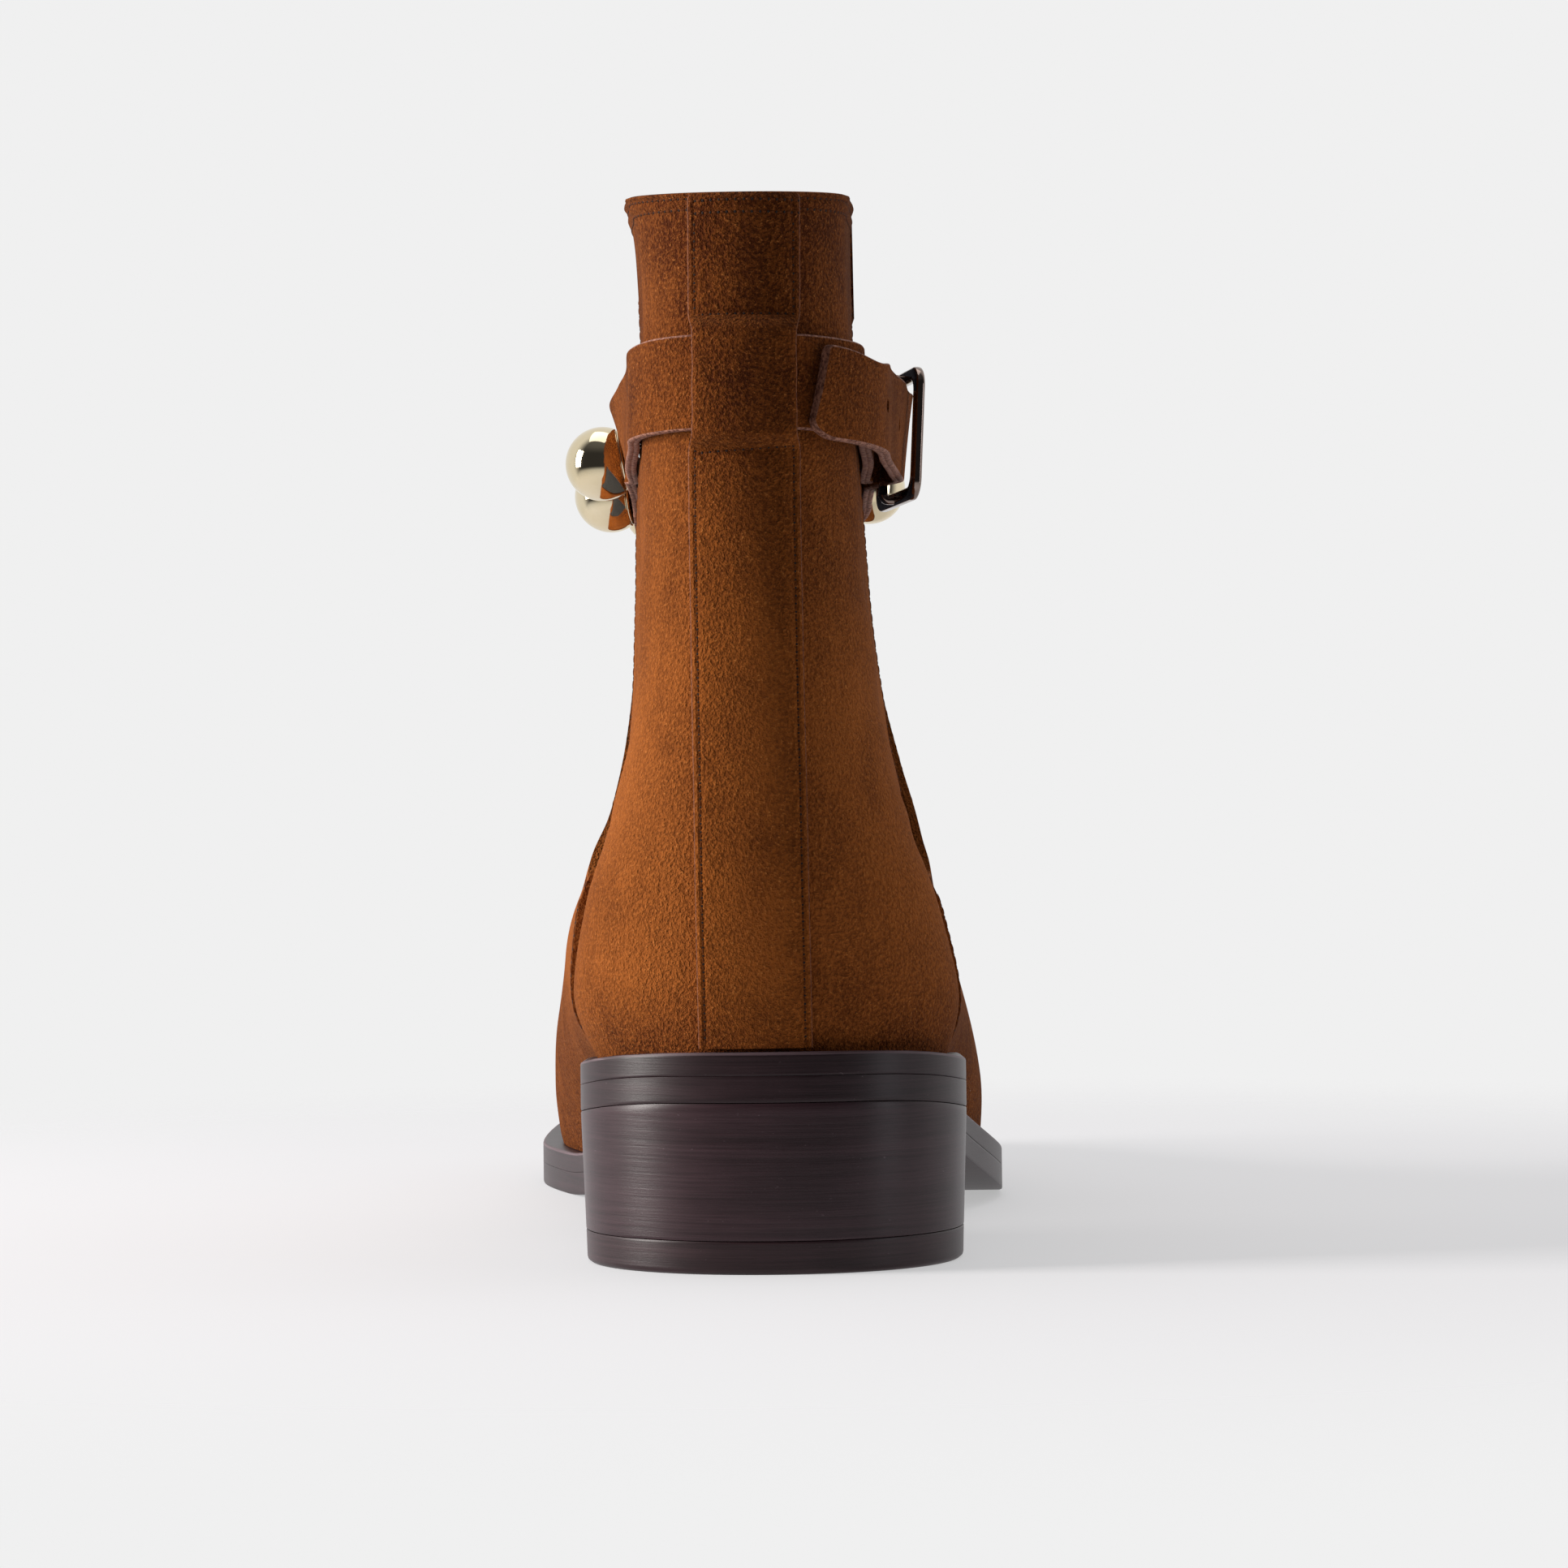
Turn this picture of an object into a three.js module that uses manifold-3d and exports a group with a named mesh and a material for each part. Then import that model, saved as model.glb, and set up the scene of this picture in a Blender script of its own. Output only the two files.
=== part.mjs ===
// Ankle boot for the right foot, in millimetres. +Z is up, the toe points along +Y and the outer
// side of the foot is +X. The origin is the centre of the heel's resting face.
import * as THREE from 'three';
import { mergeVertices } from 'three/addons/utils/BufferGeometryUtils.js';
import Module from 'manifold-3d';

const wasm = await Module();
wasm.setup();

// Main sizes
const soleLength = 262;
const ballWidth = 88.5;
const heelWidth = 62;
const heelHeight = 35;
const toeSpring = 9;
const collarHeight = 170.5;
const collarRise = 6.5;

// Sole layers
const weltThickness = 3.6;
const outsoleThickness = 4.1;
const outsoleBevel = 1;
const topLiftThickness = 5;
const heelBaseWidth = 60.4;
const heelBaseLength = 62;
const heelBreastSlant = 2;
const heelBreastHollow = 2.5;
const insoleThickness = 3;

// Upper and what is sewn to it
const upperWall = 2;
const vampStep = 1;
const goreThickness = 1.2;
const goreRecess = 0.5;
const stripWidth = 18;
const stripThickness = 1.3;
const stripRamp = 3;

// Strap and its metal
const strapWidth = 15.2;
const strapThickness = 2;
const buckleLength = 26;
const buckleHeight = 23;
const buckleBar = 2.4;
const buckleThickness = 1.8;
const buckleCorner = 3.5;
const prongWidth = 2;
const prongThickness = 1.4;
const studRadius = 6.6;
const studSink = 0.62;

// Gap kept between neighbouring pieces
const clearance = 0.3;

// Interpolation helpers
const lerp = (a, b, share) => a + (b - a) * share;
const clamp = (value, low, high) => Math.min(Math.max(value, low), high);
const smooth = (share) => share * share * (3 - 2 * share);

// Top of the welt along the foot: level heel seat, arch, flat tread, toe spring
const soleThickness = weltThickness + clearance + outsoleThickness;
const archBack = 0.05 * soleLength;
const treadBack = 0.485 * soleLength;
const treadFront = 0.555 * soleLength;
const toeTip = 0.878 * soleLength;
function soleTop(y) {
  if (y <= treadBack) {
    const drop = smooth(clamp((y - archBack) / (treadBack - archBack), 0, 1));
    return lerp(heelHeight, soleThickness, drop);
  }
  const lift = clamp((y - treadFront) / (toeTip - treadFront), 0, 2);
  return soleThickness + toeSpring * lift * lift;
}

// Sections of the upper, from the edge on the sole to the collar. back, front and the depths are
// shares of the sole's length, heel widths are shares of the heel's width, the other widths and the
// centres are shares of the ball width, and rise is the share of the way up to the collar.
const upperColumns = ['back', 'backRise', 'front', 'frontRise', 'follow', 'backX', 'frontX', 'heelDepth',
  'toeDepthIn', 'toeDepthOut', 'heelIn', 'heelOut', 'midIn', 'midOut', 'ballIn', 'ballOut'];
const upperTable = [
  [-0.113, 0, 0.863, 0, 1, -0.036, -0.09, 0.112, 0.27, 0.43, 0.465, 0.448, 0.27, 0.3, 0.466, 0.418],
  [-0.117, 0.08, 0.874, 0.037, 0.7, -0.037, -0.09, 0.115, 0.27, 0.43, 0.53, 0.484, 0.39, 0.35, 0.48, 0.423],
  [-0.118, 0.2, 0.847, 0.093, 0.4, -0.039, -0.085, 0.115, 0.26, 0.37, 0.492, 0.424, 0.41, 0.335, 0.458, 0.386],
  [-0.113, 0.3, 0.775, 0.143, 0.18, -0.04, -0.07, 0.11, 0.195, 0.26, 0.43, 0.357, 0.37, 0.303, 0.37, 0.32],
  [-0.105, 0.405, 0.672, 0.2, 0.06, -0.042, -0.055, 0.1, 0.15, 0.18, 0.379, 0.305, 0.315, 0.272, 0.3, 0.273],
  [-0.098, 0.51, 0.557, 0.292, 0, -0.043, -0.045, 0.092, 0.115, 0.13, 0.351, 0.269, 0.285, 0.238, 0.275, 0.247],
  [-0.094, 0.62, 0.454, 0.416, 0, -0.044, -0.045, 0.087, 0.095, 0.1, 0.339, 0.246, 0.267, 0.203, 0.259, 0.208],
  [-0.094, 0.74, 0.378, 0.571, 0, -0.043, -0.05, 0.085, 0.088, 0.09, 0.334, 0.231, 0.256, 0.181, 0.248, 0.18],
  [-0.099, 0.865, 0.34, 0.75, 0, -0.041, -0.055, 0.083, 0.085, 0.085, 0.326, 0.216, 0.241, 0.165, 0.228, 0.16],
  [-0.107, 1, 0.317, 1, 0, -0.039, -0.06, 0.083, 0.083, 0.083, 0.343, 0.21, 0.254, 0.16, 0.236, 0.154],
];

// Outline of the sole, in the same columns
const soleTable = [
  [-0.122, 0, 0.878, 0, 1, 0, -0.085, 0.118, 0.27, 0.44, 0.5, 0.5, 0.3, 0.335, 0.525, 0.48],
];

// A table row turned into millimetres
function sectionFrom(shares) {
  const row = Object.fromEntries(upperColumns.map((name, index) => [name, shares[index]]));
  const backY = row.back * soleLength;
  const frontY = row.front * soleLength;
  const backFloor = soleTop(backY);
  const frontFloor = soleTop(frontY);
  return {
    backY,
    frontY,
    backZ: lerp(backFloor, collarHeight, row.backRise),
    frontZ: lerp(frontFloor, collarHeight + collarRise, row.frontRise),
    follow: row.follow,
    backX: row.backX * ballWidth,
    frontX: row.frontX * ballWidth,
    heelY: backY + row.heelDepth * soleLength,
    sides: {
      inner: {
        sign: -1,
        ballY: frontY - row.toeDepthIn * soleLength,
        heel: row.heelIn * heelWidth,
        mid: row.midIn * ballWidth,
        ball: row.ballIn * ballWidth,
      },
      outer: {
        sign: 1,
        ballY: frontY - row.toeDepthOut * soleLength,
        heel: row.heelOut * heelWidth,
        mid: row.midOut * ballWidth,
        ball: row.ballOut * ballWidth,
      },
    },
  };
}

// The upper's section at any share of the way from the sole's edge to the collar
function upperSection(share) {
  const place = clamp(share, 0, 1) * (upperTable.length - 1);
  const index = Math.min(Math.floor(place), upperTable.length - 2);
  const local = place - index;
  const pick = (offset) => upperTable[clamp(index + offset, 0, upperTable.length - 1)];
  const [before, from, to, after] = [pick(-1), pick(0), pick(1), pick(2)];
  const shares = from.map((value, column) => {
    const startSlope = (to[column] - before[column]) / 2;
    const endSlope = (after[column] - value) / 2;
    const change = to[column] - value;
    return value + local * (startSlope + local * (3 * change - 2 * startSlope - endSlope
      + local * (startSlope + endSlope - 2 * change)));
  });
  return sectionFrom(shares);
}

// Where an outline's side stands at a place along the foot: round back, waist, ball, round toe
const roundness = 2.1;
const roundOff = (share) => (1 - clamp(share, 0, 1) ** roundness) ** (1 / roundness);
const midShare = 0.45;
function sideX(section, sideName, y) {
  const { sign, ballY, heel, mid, ball } = section.sides[sideName];
  const { backY, frontY, backX, frontX, heelY } = section;
  if (y < heelY) {
    const reach = roundOff((heelY - y) / (heelY - backY));
    return lerp(backX, sign * heel, reach);
  }
  if (y > ballY) {
    const reach = roundOff((y - ballY) / (frontY - ballY));
    return lerp(frontX, sign * ball, reach);
  }
  const midY = lerp(heelY, ballY, midShare);
  const slopeBefore = (mid - heel) / (midY - heelY);
  const slopeAfter = (ball - mid) / (ballY - midY);
  const bends = slopeBefore * slopeAfter <= 0;
  const slope = bends ? 0 : 2 * slopeBefore * slopeAfter / (slopeBefore + slopeAfter);
  const late = y > midY;
  const [fromY, toY, from, to] = late ? [midY, ballY, mid, ball] : [heelY, midY, heel, mid];
  const span = toY - fromY;
  const local = (y - fromY) / span;
  const startSlope = late ? slope * span : 0;
  const endSlope = late ? 0 : slope * span;
  const change = to - from;
  const width = from + local * (startSlope + local * (3 * change - 2 * startSlope - endSlope
    + local * (startSlope + endSlope - 2 * change)));
  return sign * width;
}

// Height of a section at a place along the foot: a slanted plane that follows the sole low down
function sectionZ(section, y) {
  const { backY, frontY, backZ, frontZ, follow } = section;
  const share = clamp((y - backY) / (frontY - backY), 0, 1);
  const hollow = soleTop(y) - lerp(soleTop(backY), soleTop(frontY), share);
  return lerp(backZ, frontZ, share) + follow * hollow;
}

// Steps round a section: back arc, side and front arc of the outer side, then the inner side back
const backSteps = 6;
const sideSteps = 9;
const frontSteps = 9;
const halfSteps = backSteps + sideSteps + frontSteps;
const aroundSteps = 2 * halfSteps;
function yAtStep(section, step) {
  const { backY, frontY, heelY, sides } = section;
  const frontArc = Math.max(sides.inner.ballY, sides.outer.ballY);
  if (step <= backSteps) {
    const angle = (step / backSteps) * Math.PI / 2;
    return heelY - (heelY - backY) * Math.cos(angle);
  }
  if (step <= backSteps + sideSteps) {
    return lerp(heelY, frontArc, (step - backSteps) / sideSteps);
  }
  const angle = ((step - backSteps - sideSteps) / frontSteps) * Math.PI / 2;
  return frontArc + (frontY - frontArc) * Math.sin(angle);
}

// A point of the upper's outside, at a share of its height and a place round it
function outsidePoint(share, around) {
  const section = upperSection(share);
  const wrapped = ((around % aroundSteps) + aroundSteps) % aroundSteps;
  const isOuter = wrapped <= halfSteps;
  const step = isOuter ? wrapped : aroundSteps - wrapped;
  const y = yAtStep(section, step);
  const x = sideX(section, isOuter ? 'outer' : 'inner', y);
  return new THREE.Vector3(x, y, sectionZ(section, y));
}

// The direction square to the upper's outside, level at its two open edges
const reach = 0.01;
const sideReach = 0.25;
const levelEdge = 0.08;
function outsideNormal(share, around) {
  const low = Math.max(share - reach, 0);
  const high = Math.min(share + reach, 1);
  const up = outsidePoint(high, around).sub(outsidePoint(low, around));
  const along = outsidePoint(share, around + sideReach).sub(outsidePoint(share, around - sideReach));
  const normal = along.cross(up);
  const edge = Math.min(share, 1 - share);
  normal.z *= smooth(clamp(edge / levelEdge, 0, 1));
  return normal.normalize();
}

function offsetPoint(share, around, offset) {
  const point = outsidePoint(share, around);
  point.addScaledVector(outsideNormal(share, around), offset);
  return point;
}

// The same outside, found at a height instead of a share of the way up
const halvings = 30;
function shareAtHeight(around, z) {
  let low = 0;
  let high = 1;
  for (let turn = 0; turn < halvings; turn += 1) {
    const middle = (low + high) / 2;
    if (outsidePoint(middle, around).z < z) low = middle;
    else high = middle;
  }
  return (low + high) / 2;
}

// A closed mesh through loops of equal length, capped with rungs whose two indices add up to fold
function loft(loops, { ring = false, fold = 0 } = {}) {
  const count = loops[0].length;
  const positions = loops.flat().flatMap((point) => [point.x, point.y, point.z]);
  const index = [];
  const bands = ring ? loops.length : loops.length - 1;
  for (let band = 0; band < bands; band += 1) {
    const here = band * count;
    const there = ((band + 1) % loops.length) * count;
    for (let i = 0; i < count; i += 1) {
      const next = (i + 1) % count;
      index.push(here + i, here + next, there + next, here + i, there + next, there + i);
    }
  }
  const cap = (start, flip) => {
    for (let i = 0; 2 * i < fold - 1; i += 1) {
      const corners = [i, i + 1, (fold - i - 1) % count, (fold - i) % count];
      const [a, b, c, d] = corners.map((corner) => start + corner);
      const faces = [];
      if (a !== d && b !== c) faces.push([a, b, c], [a, c, d]);
      else if (a === d) faces.push([a, b, c]);
      else faces.push([a, b, d]);
      faces.forEach(([p, q, r]) => index.push(...(flip ? [p, r, q] : [p, q, r])));
    }
  };
  if (!ring) {
    cap(0, true);
    cap((loops.length - 1) * count, false);
  }
  const geometry = new THREE.BufferGeometry();
  geometry.setAttribute('position', new THREE.Float32BufferAttribute(positions, 3));
  geometry.setIndex(index);
  return facingOut(geometry);
}

// Turns a closed mesh right side out
function facingOut(geometry) {
  const position = geometry.getAttribute('position');
  const index = geometry.getIndex().array;
  const [a, b, c] = [new THREE.Vector3(), new THREE.Vector3(), new THREE.Vector3()];
  let volume = 0;
  for (let i = 0; i < index.length; i += 3) {
    a.fromBufferAttribute(position, index[i]);
    b.fromBufferAttribute(position, index[i + 1]);
    c.fromBufferAttribute(position, index[i + 2]);
    volume += a.dot(b.cross(c));
  }
  if (volume < 0) {
    for (let i = 0; i < index.length; i += 3) {
      [index[i + 1], index[i + 2]] = [index[i + 2], index[i + 1]];
    }
  }
  return geometry;
}

// Closed mesh to solid and back
const weldDistance = 1e-4;
function toSolid(geometry) {
  const bare = geometry.clone();
  bare.deleteAttribute('normal');
  bare.deleteAttribute('uv');
  const merged = mergeVertices(bare, weldDistance);
  return new wasm.Manifold(new wasm.Mesh({
    numProp: 3,
    vertProperties: new Float32Array(merged.getAttribute('position').array),
    triVerts: new Uint32Array(merged.getIndex().array),
  }));
}

function toGeometry(solid) {
  const mesh = solid.getMesh();
  const geometry = new THREE.BufferGeometry();
  geometry.setAttribute('position', new THREE.Float32BufferAttribute(mesh.vertProperties, 3));
  geometry.setIndex(Array.from(mesh.triVerts));
  return geometry;
}

// A wall between two offsets of the upper's outside, all the way round, standing on the welt. A trim
// keeps its edges back from the collar and the welt.
const rowSteps = 18;
const seatGap = 1.5 * clearance;
function wallSolid(innerOffset, outerOffset, trim = 0) {
  const sides = [];
  for (let around = 0; around < aroundSteps; around += 1) {
    const column = (offset) => {
      const points = [];
      for (let row = 0; row <= rowSteps; row += 1) {
        points.push(offsetPoint(row / rowSteps, around, offset));
      }
      points[0].z = soleTop(points[0].y) + seatGap + trim;
      points[rowSteps].z -= trim;
      return points;
    };
    sides.push([...column(outerOffset), ...column(innerOffset).reverse()]);
  }
  return toSolid(loft(sides, { ring: true }));
}

// A bar across the boot with a given outline in side view
function sidePrism(outline, fromX, toX) {
  const shape = new THREE.Shape(outline.map(([y, z]) => new THREE.Vector2(y, z)));
  const geometry = new THREE.ExtrudeGeometry(shape, { depth: toX - fromX, bevelEnabled: false });
  const along = new THREE.Vector3(0, 1, 0);
  const up = new THREE.Vector3(0, 0, 1);
  const across = new THREE.Vector3(1, 0, 0);
  geometry.applyMatrix4(new THREE.Matrix4().makeBasis(along, up, across));
  geometry.translate(fromX, 0, 0);
  return toSolid(geometry);
}

// Elastic panel in side view: y as a share of the sole's length, z of the collar's height
const goreOutline = [
  { y: 0.118, z: 0.362 },
  { y: 0.165, z: 0.362 },
  { y: 0.215, z: 0.48 },
  { y: 0.258, z: 0.66 },
  { y: 0.268, z: 0.93 },
  { y: 0.105, z: 0.93 },
  { y: 0.112, z: 0.66 },
  { y: 0.12, z: 0.48 },
];
function goreShape(inset) {
  return drawnIn(goreOutline.map(({ y, z }) => [y * soleLength, z * collarHeight]), inset);
}

// An outline that runs anticlockwise, drawn in on all sides, or let out by a negative inset
function drawnIn(outline, inset) {
  const points = outline.map(([x, y]) => new THREE.Vector2(x, y));
  return points.map((point, index) => {
    const before = points[(index + points.length - 1) % points.length];
    const after = points[(index + 1) % points.length];
    const first = point.clone().sub(before).normalize();
    const second = after.clone().sub(point).normalize();
    const inward = new THREE.Vector2(-first.y - second.y, first.x + second.x).normalize();
    const square = new THREE.Vector2(-first.y, first.x);
    const shifted = point.clone().addScaledVector(inward, inset / inward.dot(square));
    return [shifted.x, shifted.y];
  });
}

// The vamp in side view: all that lies ahead of its seam with the quarters
const wide = ballWidth;
const overGore = 0.18 * soleLength;
const seamLean = 0.012 * soleLength;
function vampShape() {
  const seamTop = [goreOutline[0].y * soleLength, goreOutline[0].z * collarHeight];
  const far = 2 * soleLength;
  const high = 2 * collarHeight;
  return [
    [seamTop[0] - seamLean, -soleThickness],
    [far, -soleThickness],
    [far, high],
    [overGore, high],
    [overGore, goreOutline[2].z * collarHeight],
    [seamTop[0] + goreRecess, seamTop[1] + goreRecess],
  ];
}

function makeUpper() {
  const base = wallSolid(-upperWall, 0);
  const outer = wallSolid(-upperWall / 2, vampStep, clearance);
  const raised = outer.intersect(sidePrism(vampShape(), -wide, wide));
  const window = sidePrism(goreShape(0), -wide, wide);
  return toGeometry(base.add(raised).subtract(window));
}

const shaftCentre = -0.06 * ballWidth;
function makeGore(sign) {
  const sheet = wallSolid(-goreRecess - goreThickness, -goreRecess);
  const edges = sign < 0 ? [-wide, shaftCentre] : [shaftCentre, wide];
  return toGeometry(sheet.intersect(sidePrism(goreShape(clearance), edges[0], edges[1])));
}

// Outline of a sole layer, the same stations on both sides, drawn in by an inset
const soleSection = sectionFrom(soleTable[0]);
function soleStations(section) {
  const { backY, heelY, frontY } = section;
  const stations = [];
  const arcSteps = 7;
  for (let i = 0; i < arcSteps; i += 1) {
    stations.push(heelY - (heelY - backY) * Math.cos((i / arcSteps) * Math.PI / 2));
  }
  const archSteps = 9;
  for (let i = 0; i < archSteps; i += 1) stations.push(lerp(heelY, treadBack, i / archSteps));
  stations.push(treadBack);
  const toeSteps = 9;
  for (let i = 0; i <= toeSteps; i += 1) {
    const share = Math.sin((i / toeSteps) * Math.PI / 2);
    stations.push(lerp(treadFront, frontY, share));
  }
  return stations;
}

function layerOutline(section, inset, zAt) {
  const stations = soleStations(section);
  const { backY, frontY, backX, frontX } = section;
  const last = stations.length - 1;
  const middle = (backY + frontY) / 2;
  const shrink = 1 - inset / (frontY - middle);
  const sidePoints = (name, sign) => stations.slice(1, last).map((station) => {
    const y = middle + (station - middle) * shrink;
    const x = sideX(section, name, station) - sign * inset;
    return new THREE.Vector3(x, y, zAt(y));
  });
  const back = new THREE.Vector3(backX, backY + inset, zAt(backY + inset));
  const front = new THREE.Vector3(frontX, frontY - inset, zAt(frontY - inset));
  return [back, ...sidePoints('outer', 1), front, ...sidePoints('inner', -1).reverse()];
}

function makeLayer(section, rings) {
  const loops = rings.map(({ inset, zAt }) => layerOutline(section, inset, zAt));
  return loft(loops, { fold: loops[0].length });
}

function makeWelt() {
  const top = (y) => soleTop(y);
  const bottom = (y) => soleTop(y) - weltThickness;
  return makeLayer(soleSection, [{ inset: 0, zAt: bottom }, { inset: 0, zAt: top }]);
}

function makeOutsole() {
  const top = (y) => soleTop(y) - weltThickness - clearance;
  const bottom = (y) => soleTop(y) - soleThickness;
  const bevelTop = (y) => bottom(y) + outsoleBevel;
  return makeLayer(soleSection, [
    { inset: outsoleBevel, zAt: bottom },
    { inset: 0, zAt: bevelTop },
    { inset: 0, zAt: top },
  ]);
}

const insoleGap = 1;
function makeInsole() {
  const bottom = (y) => soleTop(y) + clearance;
  const top = (y) => soleTop(y) + clearance + insoleThickness;
  const inset = upperWall + clearance + insoleGap;
  return makeLayer(upperSection(0), [{ inset, zAt: bottom }, { inset, zAt: top }]);
}

// The heel block: the sole's outline behind the breast, tapering to its base
const heelTopLength = heelBaseLength + heelBreastSlant;
function heelLoop(share, zAt) {
  const width = lerp(heelBaseWidth / heelWidth, 1, share);
  const backY = lerp(-heelBaseLength / 2, soleSection.backY, share);
  const breastY = lerp(heelBaseLength / 2, soleSection.backY + heelTopLength, share);
  const arcSteps = 7;
  const flankSteps = 4;
  const shares = [];
  const { heelY } = soleSection;
  const arcShare = (heelY - soleSection.backY) / heelTopLength;
  for (let i = 1; i < arcSteps; i += 1) {
    shares.push(arcShare * (1 - Math.cos((i / arcSteps) * Math.PI / 2)));
  }
  for (let i = 0; i <= flankSteps; i += 1) shares.push(lerp(arcShare, 1, i / flankSteps));
  const sidePoints = (name) => shares.map((place) => {
    const y = lerp(backY, breastY, place);
    const x = sideX(soleSection, name, soleSection.backY + place * heelTopLength) * width;
    return new THREE.Vector3(x, y, zAt(y));
  });
  const back = new THREE.Vector3(0, backY, zAt(backY));
  const breast = new THREE.Vector3(0, breastY - heelBreastHollow, zAt(breastY - heelBreastHollow));
  return [back, ...sidePoints('outer'), breast, ...sidePoints('inner').reverse()];
}

function makeHeelStack() {
  const baseZ = topLiftThickness + clearance;
  const baseShare = baseZ / (heelHeight - soleThickness);
  const top = (y) => soleTop(y) - soleThickness - clearance;
  const loops = [heelLoop(baseShare, () => baseZ), heelLoop(1, top)];
  return loft(loops, { fold: loops[0].length });
}

function makeTopLift() {
  const topShare = topLiftThickness / (heelHeight - soleThickness);
  const loops = [heelLoop(0, () => 0), heelLoop(topShare, () => topLiftThickness)];
  return loft(loops, { fold: loops[0].length });
}

// The buckle sits on the outer side, its centre bar between the strap's start and its free end
const buckleAround = -1.515;
const buckleLevel = 0.801;
function besideBar(share) {
  const z = buckleLevel * collarHeight;
  const [ahead, behind] = [reach, -reach].map((step) => {
    const place = (buckleAround + step) * halfSteps;
    return outsidePoint(shareAtHeight(place, z), place);
  });
  return buckleAround + (share * buckleLength * 2 * reach) / ahead.distanceTo(behind);
}

// The strap's way round the ankle. around counts half turns from the back: positive on the outer
// side, 1 at the front, and past -1 it lies over its own start. Near the buckle it is found from the
// distance ahead of the centre bar, a share of the buckle's length. height is a share of the
// collar's height, lift is how far the inner face stands off the upper, and flare how much further
// the top edge stands off than the bottom edge, both as shares of the strap's thickness.
const strapTable = [
  { around: 2 + besideBar(0.036), height: 0.803, lift: 0.55, flare: 0.8 },
  { around: 0.40, height: 0.808, lift: 0.5, flare: 0.5 },
  { around: 0.30, height: 0.812, lift: 0.3, flare: 0 },
  { around: 0.16, height: 0.814, lift: 0.2, flare: 0 },
  { around: 0.00, height: 0.814, lift: 0.2, flare: 0 },
  { around: -0.16, height: 0.814, lift: 0.2, flare: 0 },
  { around: -0.30, height: 0.812, lift: 0.3, flare: 0.2 },
  { around: -0.42, height: 0.806, lift: 0.6, flare: 0.8 },
  { around: -0.52, height: 0.797, lift: 1.45, flare: 2.2 },
  { around: -0.60, height: 0.785, lift: 1.3, flare: 2.2 },
  { around: -0.72, height: 0.761, lift: 1.1, flare: 1.6 },
  { around: -0.86, height: 0.748, lift: 1.0, flare: 1.0 },
  { around: -1.00, height: 0.745, lift: 0.9, flare: 0.6 },
  { around: -1.12, height: 0.752, lift: 0.9, flare: 0.3 },
  { around: -1.24, height: 0.767, lift: 0.9, flare: 0.2 },
  { around: -1.36, height: 0.786, lift: 0.95, flare: 0.2 },
  { around: besideBar(0.54), height: 0.796, lift: 1.05, flare: 0.9 },
  { around: besideBar(0.34), height: 0.799, lift: 1.1, flare: 1.2 },
  { around: besideBar(0.18), height: buckleLevel, lift: 2.4, flare: 1.0 },
  { around: buckleAround, height: buckleLevel, lift: 3.6, flare: 1.2 },
  { around: besideBar(-0.18), height: buckleLevel, lift: 3.5, flare: 1.1 },
  { around: besideBar(-0.61), height: buckleLevel, lift: 3.0, flare: 1.1 },
  { around: -1.68, height: 0.802, lift: 2.6, flare: 0.8 },
  { around: -1.76, height: 0.803, lift: 2.0, flare: 0.5 },
  { around: -1.89, height: 0.806, lift: 1.6, flare: 0.3 },
];
function strapRow(around) {
  const last = strapTable.length - 1;
  let index = strapTable.findIndex((row) => row.around <= around);
  index = index < 0 ? last : Math.max(index, 1);
  const from = strapTable[index - 1];
  const to = strapTable[index];
  const before = strapTable[Math.max(index - 2, 0)];
  const after = strapTable[Math.min(index + 1, last)];
  const span = to.around - from.around;
  const local = clamp((around - from.around) / span, 0, 1);
  const mix = (key) => {
    const startSlope = span * (to[key] - before[key]) / (to.around - before.around);
    const endSlope = span * (after[key] - from[key]) / (after.around - from.around);
    const change = to[key] - from[key];
    return from[key] + local * (startSlope + local * (3 * change - 2 * startSlope - endSlope
      + local * (startSlope + endSlope - 2 * change)));
  };
  return {
    z: mix('height') * collarHeight,
    lift: mix('lift') * strapThickness,
    flare: mix('flare') * strapThickness,
  };
}

// A point of the strap: across runs from -1 at its bottom edge to 1 at its top edge
function strapPoint(around, across, above) {
  const { z, lift, flare } = strapRow(around);
  const place = around * halfSteps;
  const share = shareAtHeight(place, z + across * strapWidth / 2);
  const ahead = outsidePoint(share, place).y - overGore + 2 * strapThickness;
  const least = clearance + (vampStep + clearance) * smooth(clamp(ahead / strapThickness, 0, 1));
  const stand = Math.max(lift + flare * across / 2, least);
  return offsetPoint(share, place, stand + above);
}

// The middle of the strap's outer face at a place, and the direction square to it
function strapSpot(around) {
  const middle = strapPoint(around, 0, strapThickness);
  const up = strapPoint(around, 1, strapThickness).sub(strapPoint(around, -1, strapThickness));
  const back = strapPoint(around + reach, 0, strapThickness);
  const along = strapPoint(around - reach, 0, strapThickness).sub(back);
  return { middle, out: up.cross(along).normalize() };
}

// The strap is a band through the table's rows, with the prong's slot cut in it
function makeStrap() {
  const longestStep = 0.035;
  const stations = [strapTable[0].around];
  for (let row = 1; row < strapTable.length; row += 1) {
    const from = strapTable[row - 1].around;
    const to = strapTable[row].around;
    const steps = Math.ceil((from - to) / longestStep);
    for (let i = 1; i <= steps; i += 1) stations.push(lerp(from, to, i / steps));
  }
  const across = [-1, 0, 1];
  const loops = stations.map((around) => {
    const outside = across.map((place) => strapPoint(around, place, strapThickness));
    const inside = across.map((place) => strapPoint(around, place, 0)).reverse();
    return [...outside, ...inside];
  });
  const band = toSolid(loft(loops, { fold: loops[0].length - 1 }));
  const slot = prongPlate(clearance).applyMatrix4(buckleMatrix());
  return toGeometry(band.subtract(toSolid(slot)));
}

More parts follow.
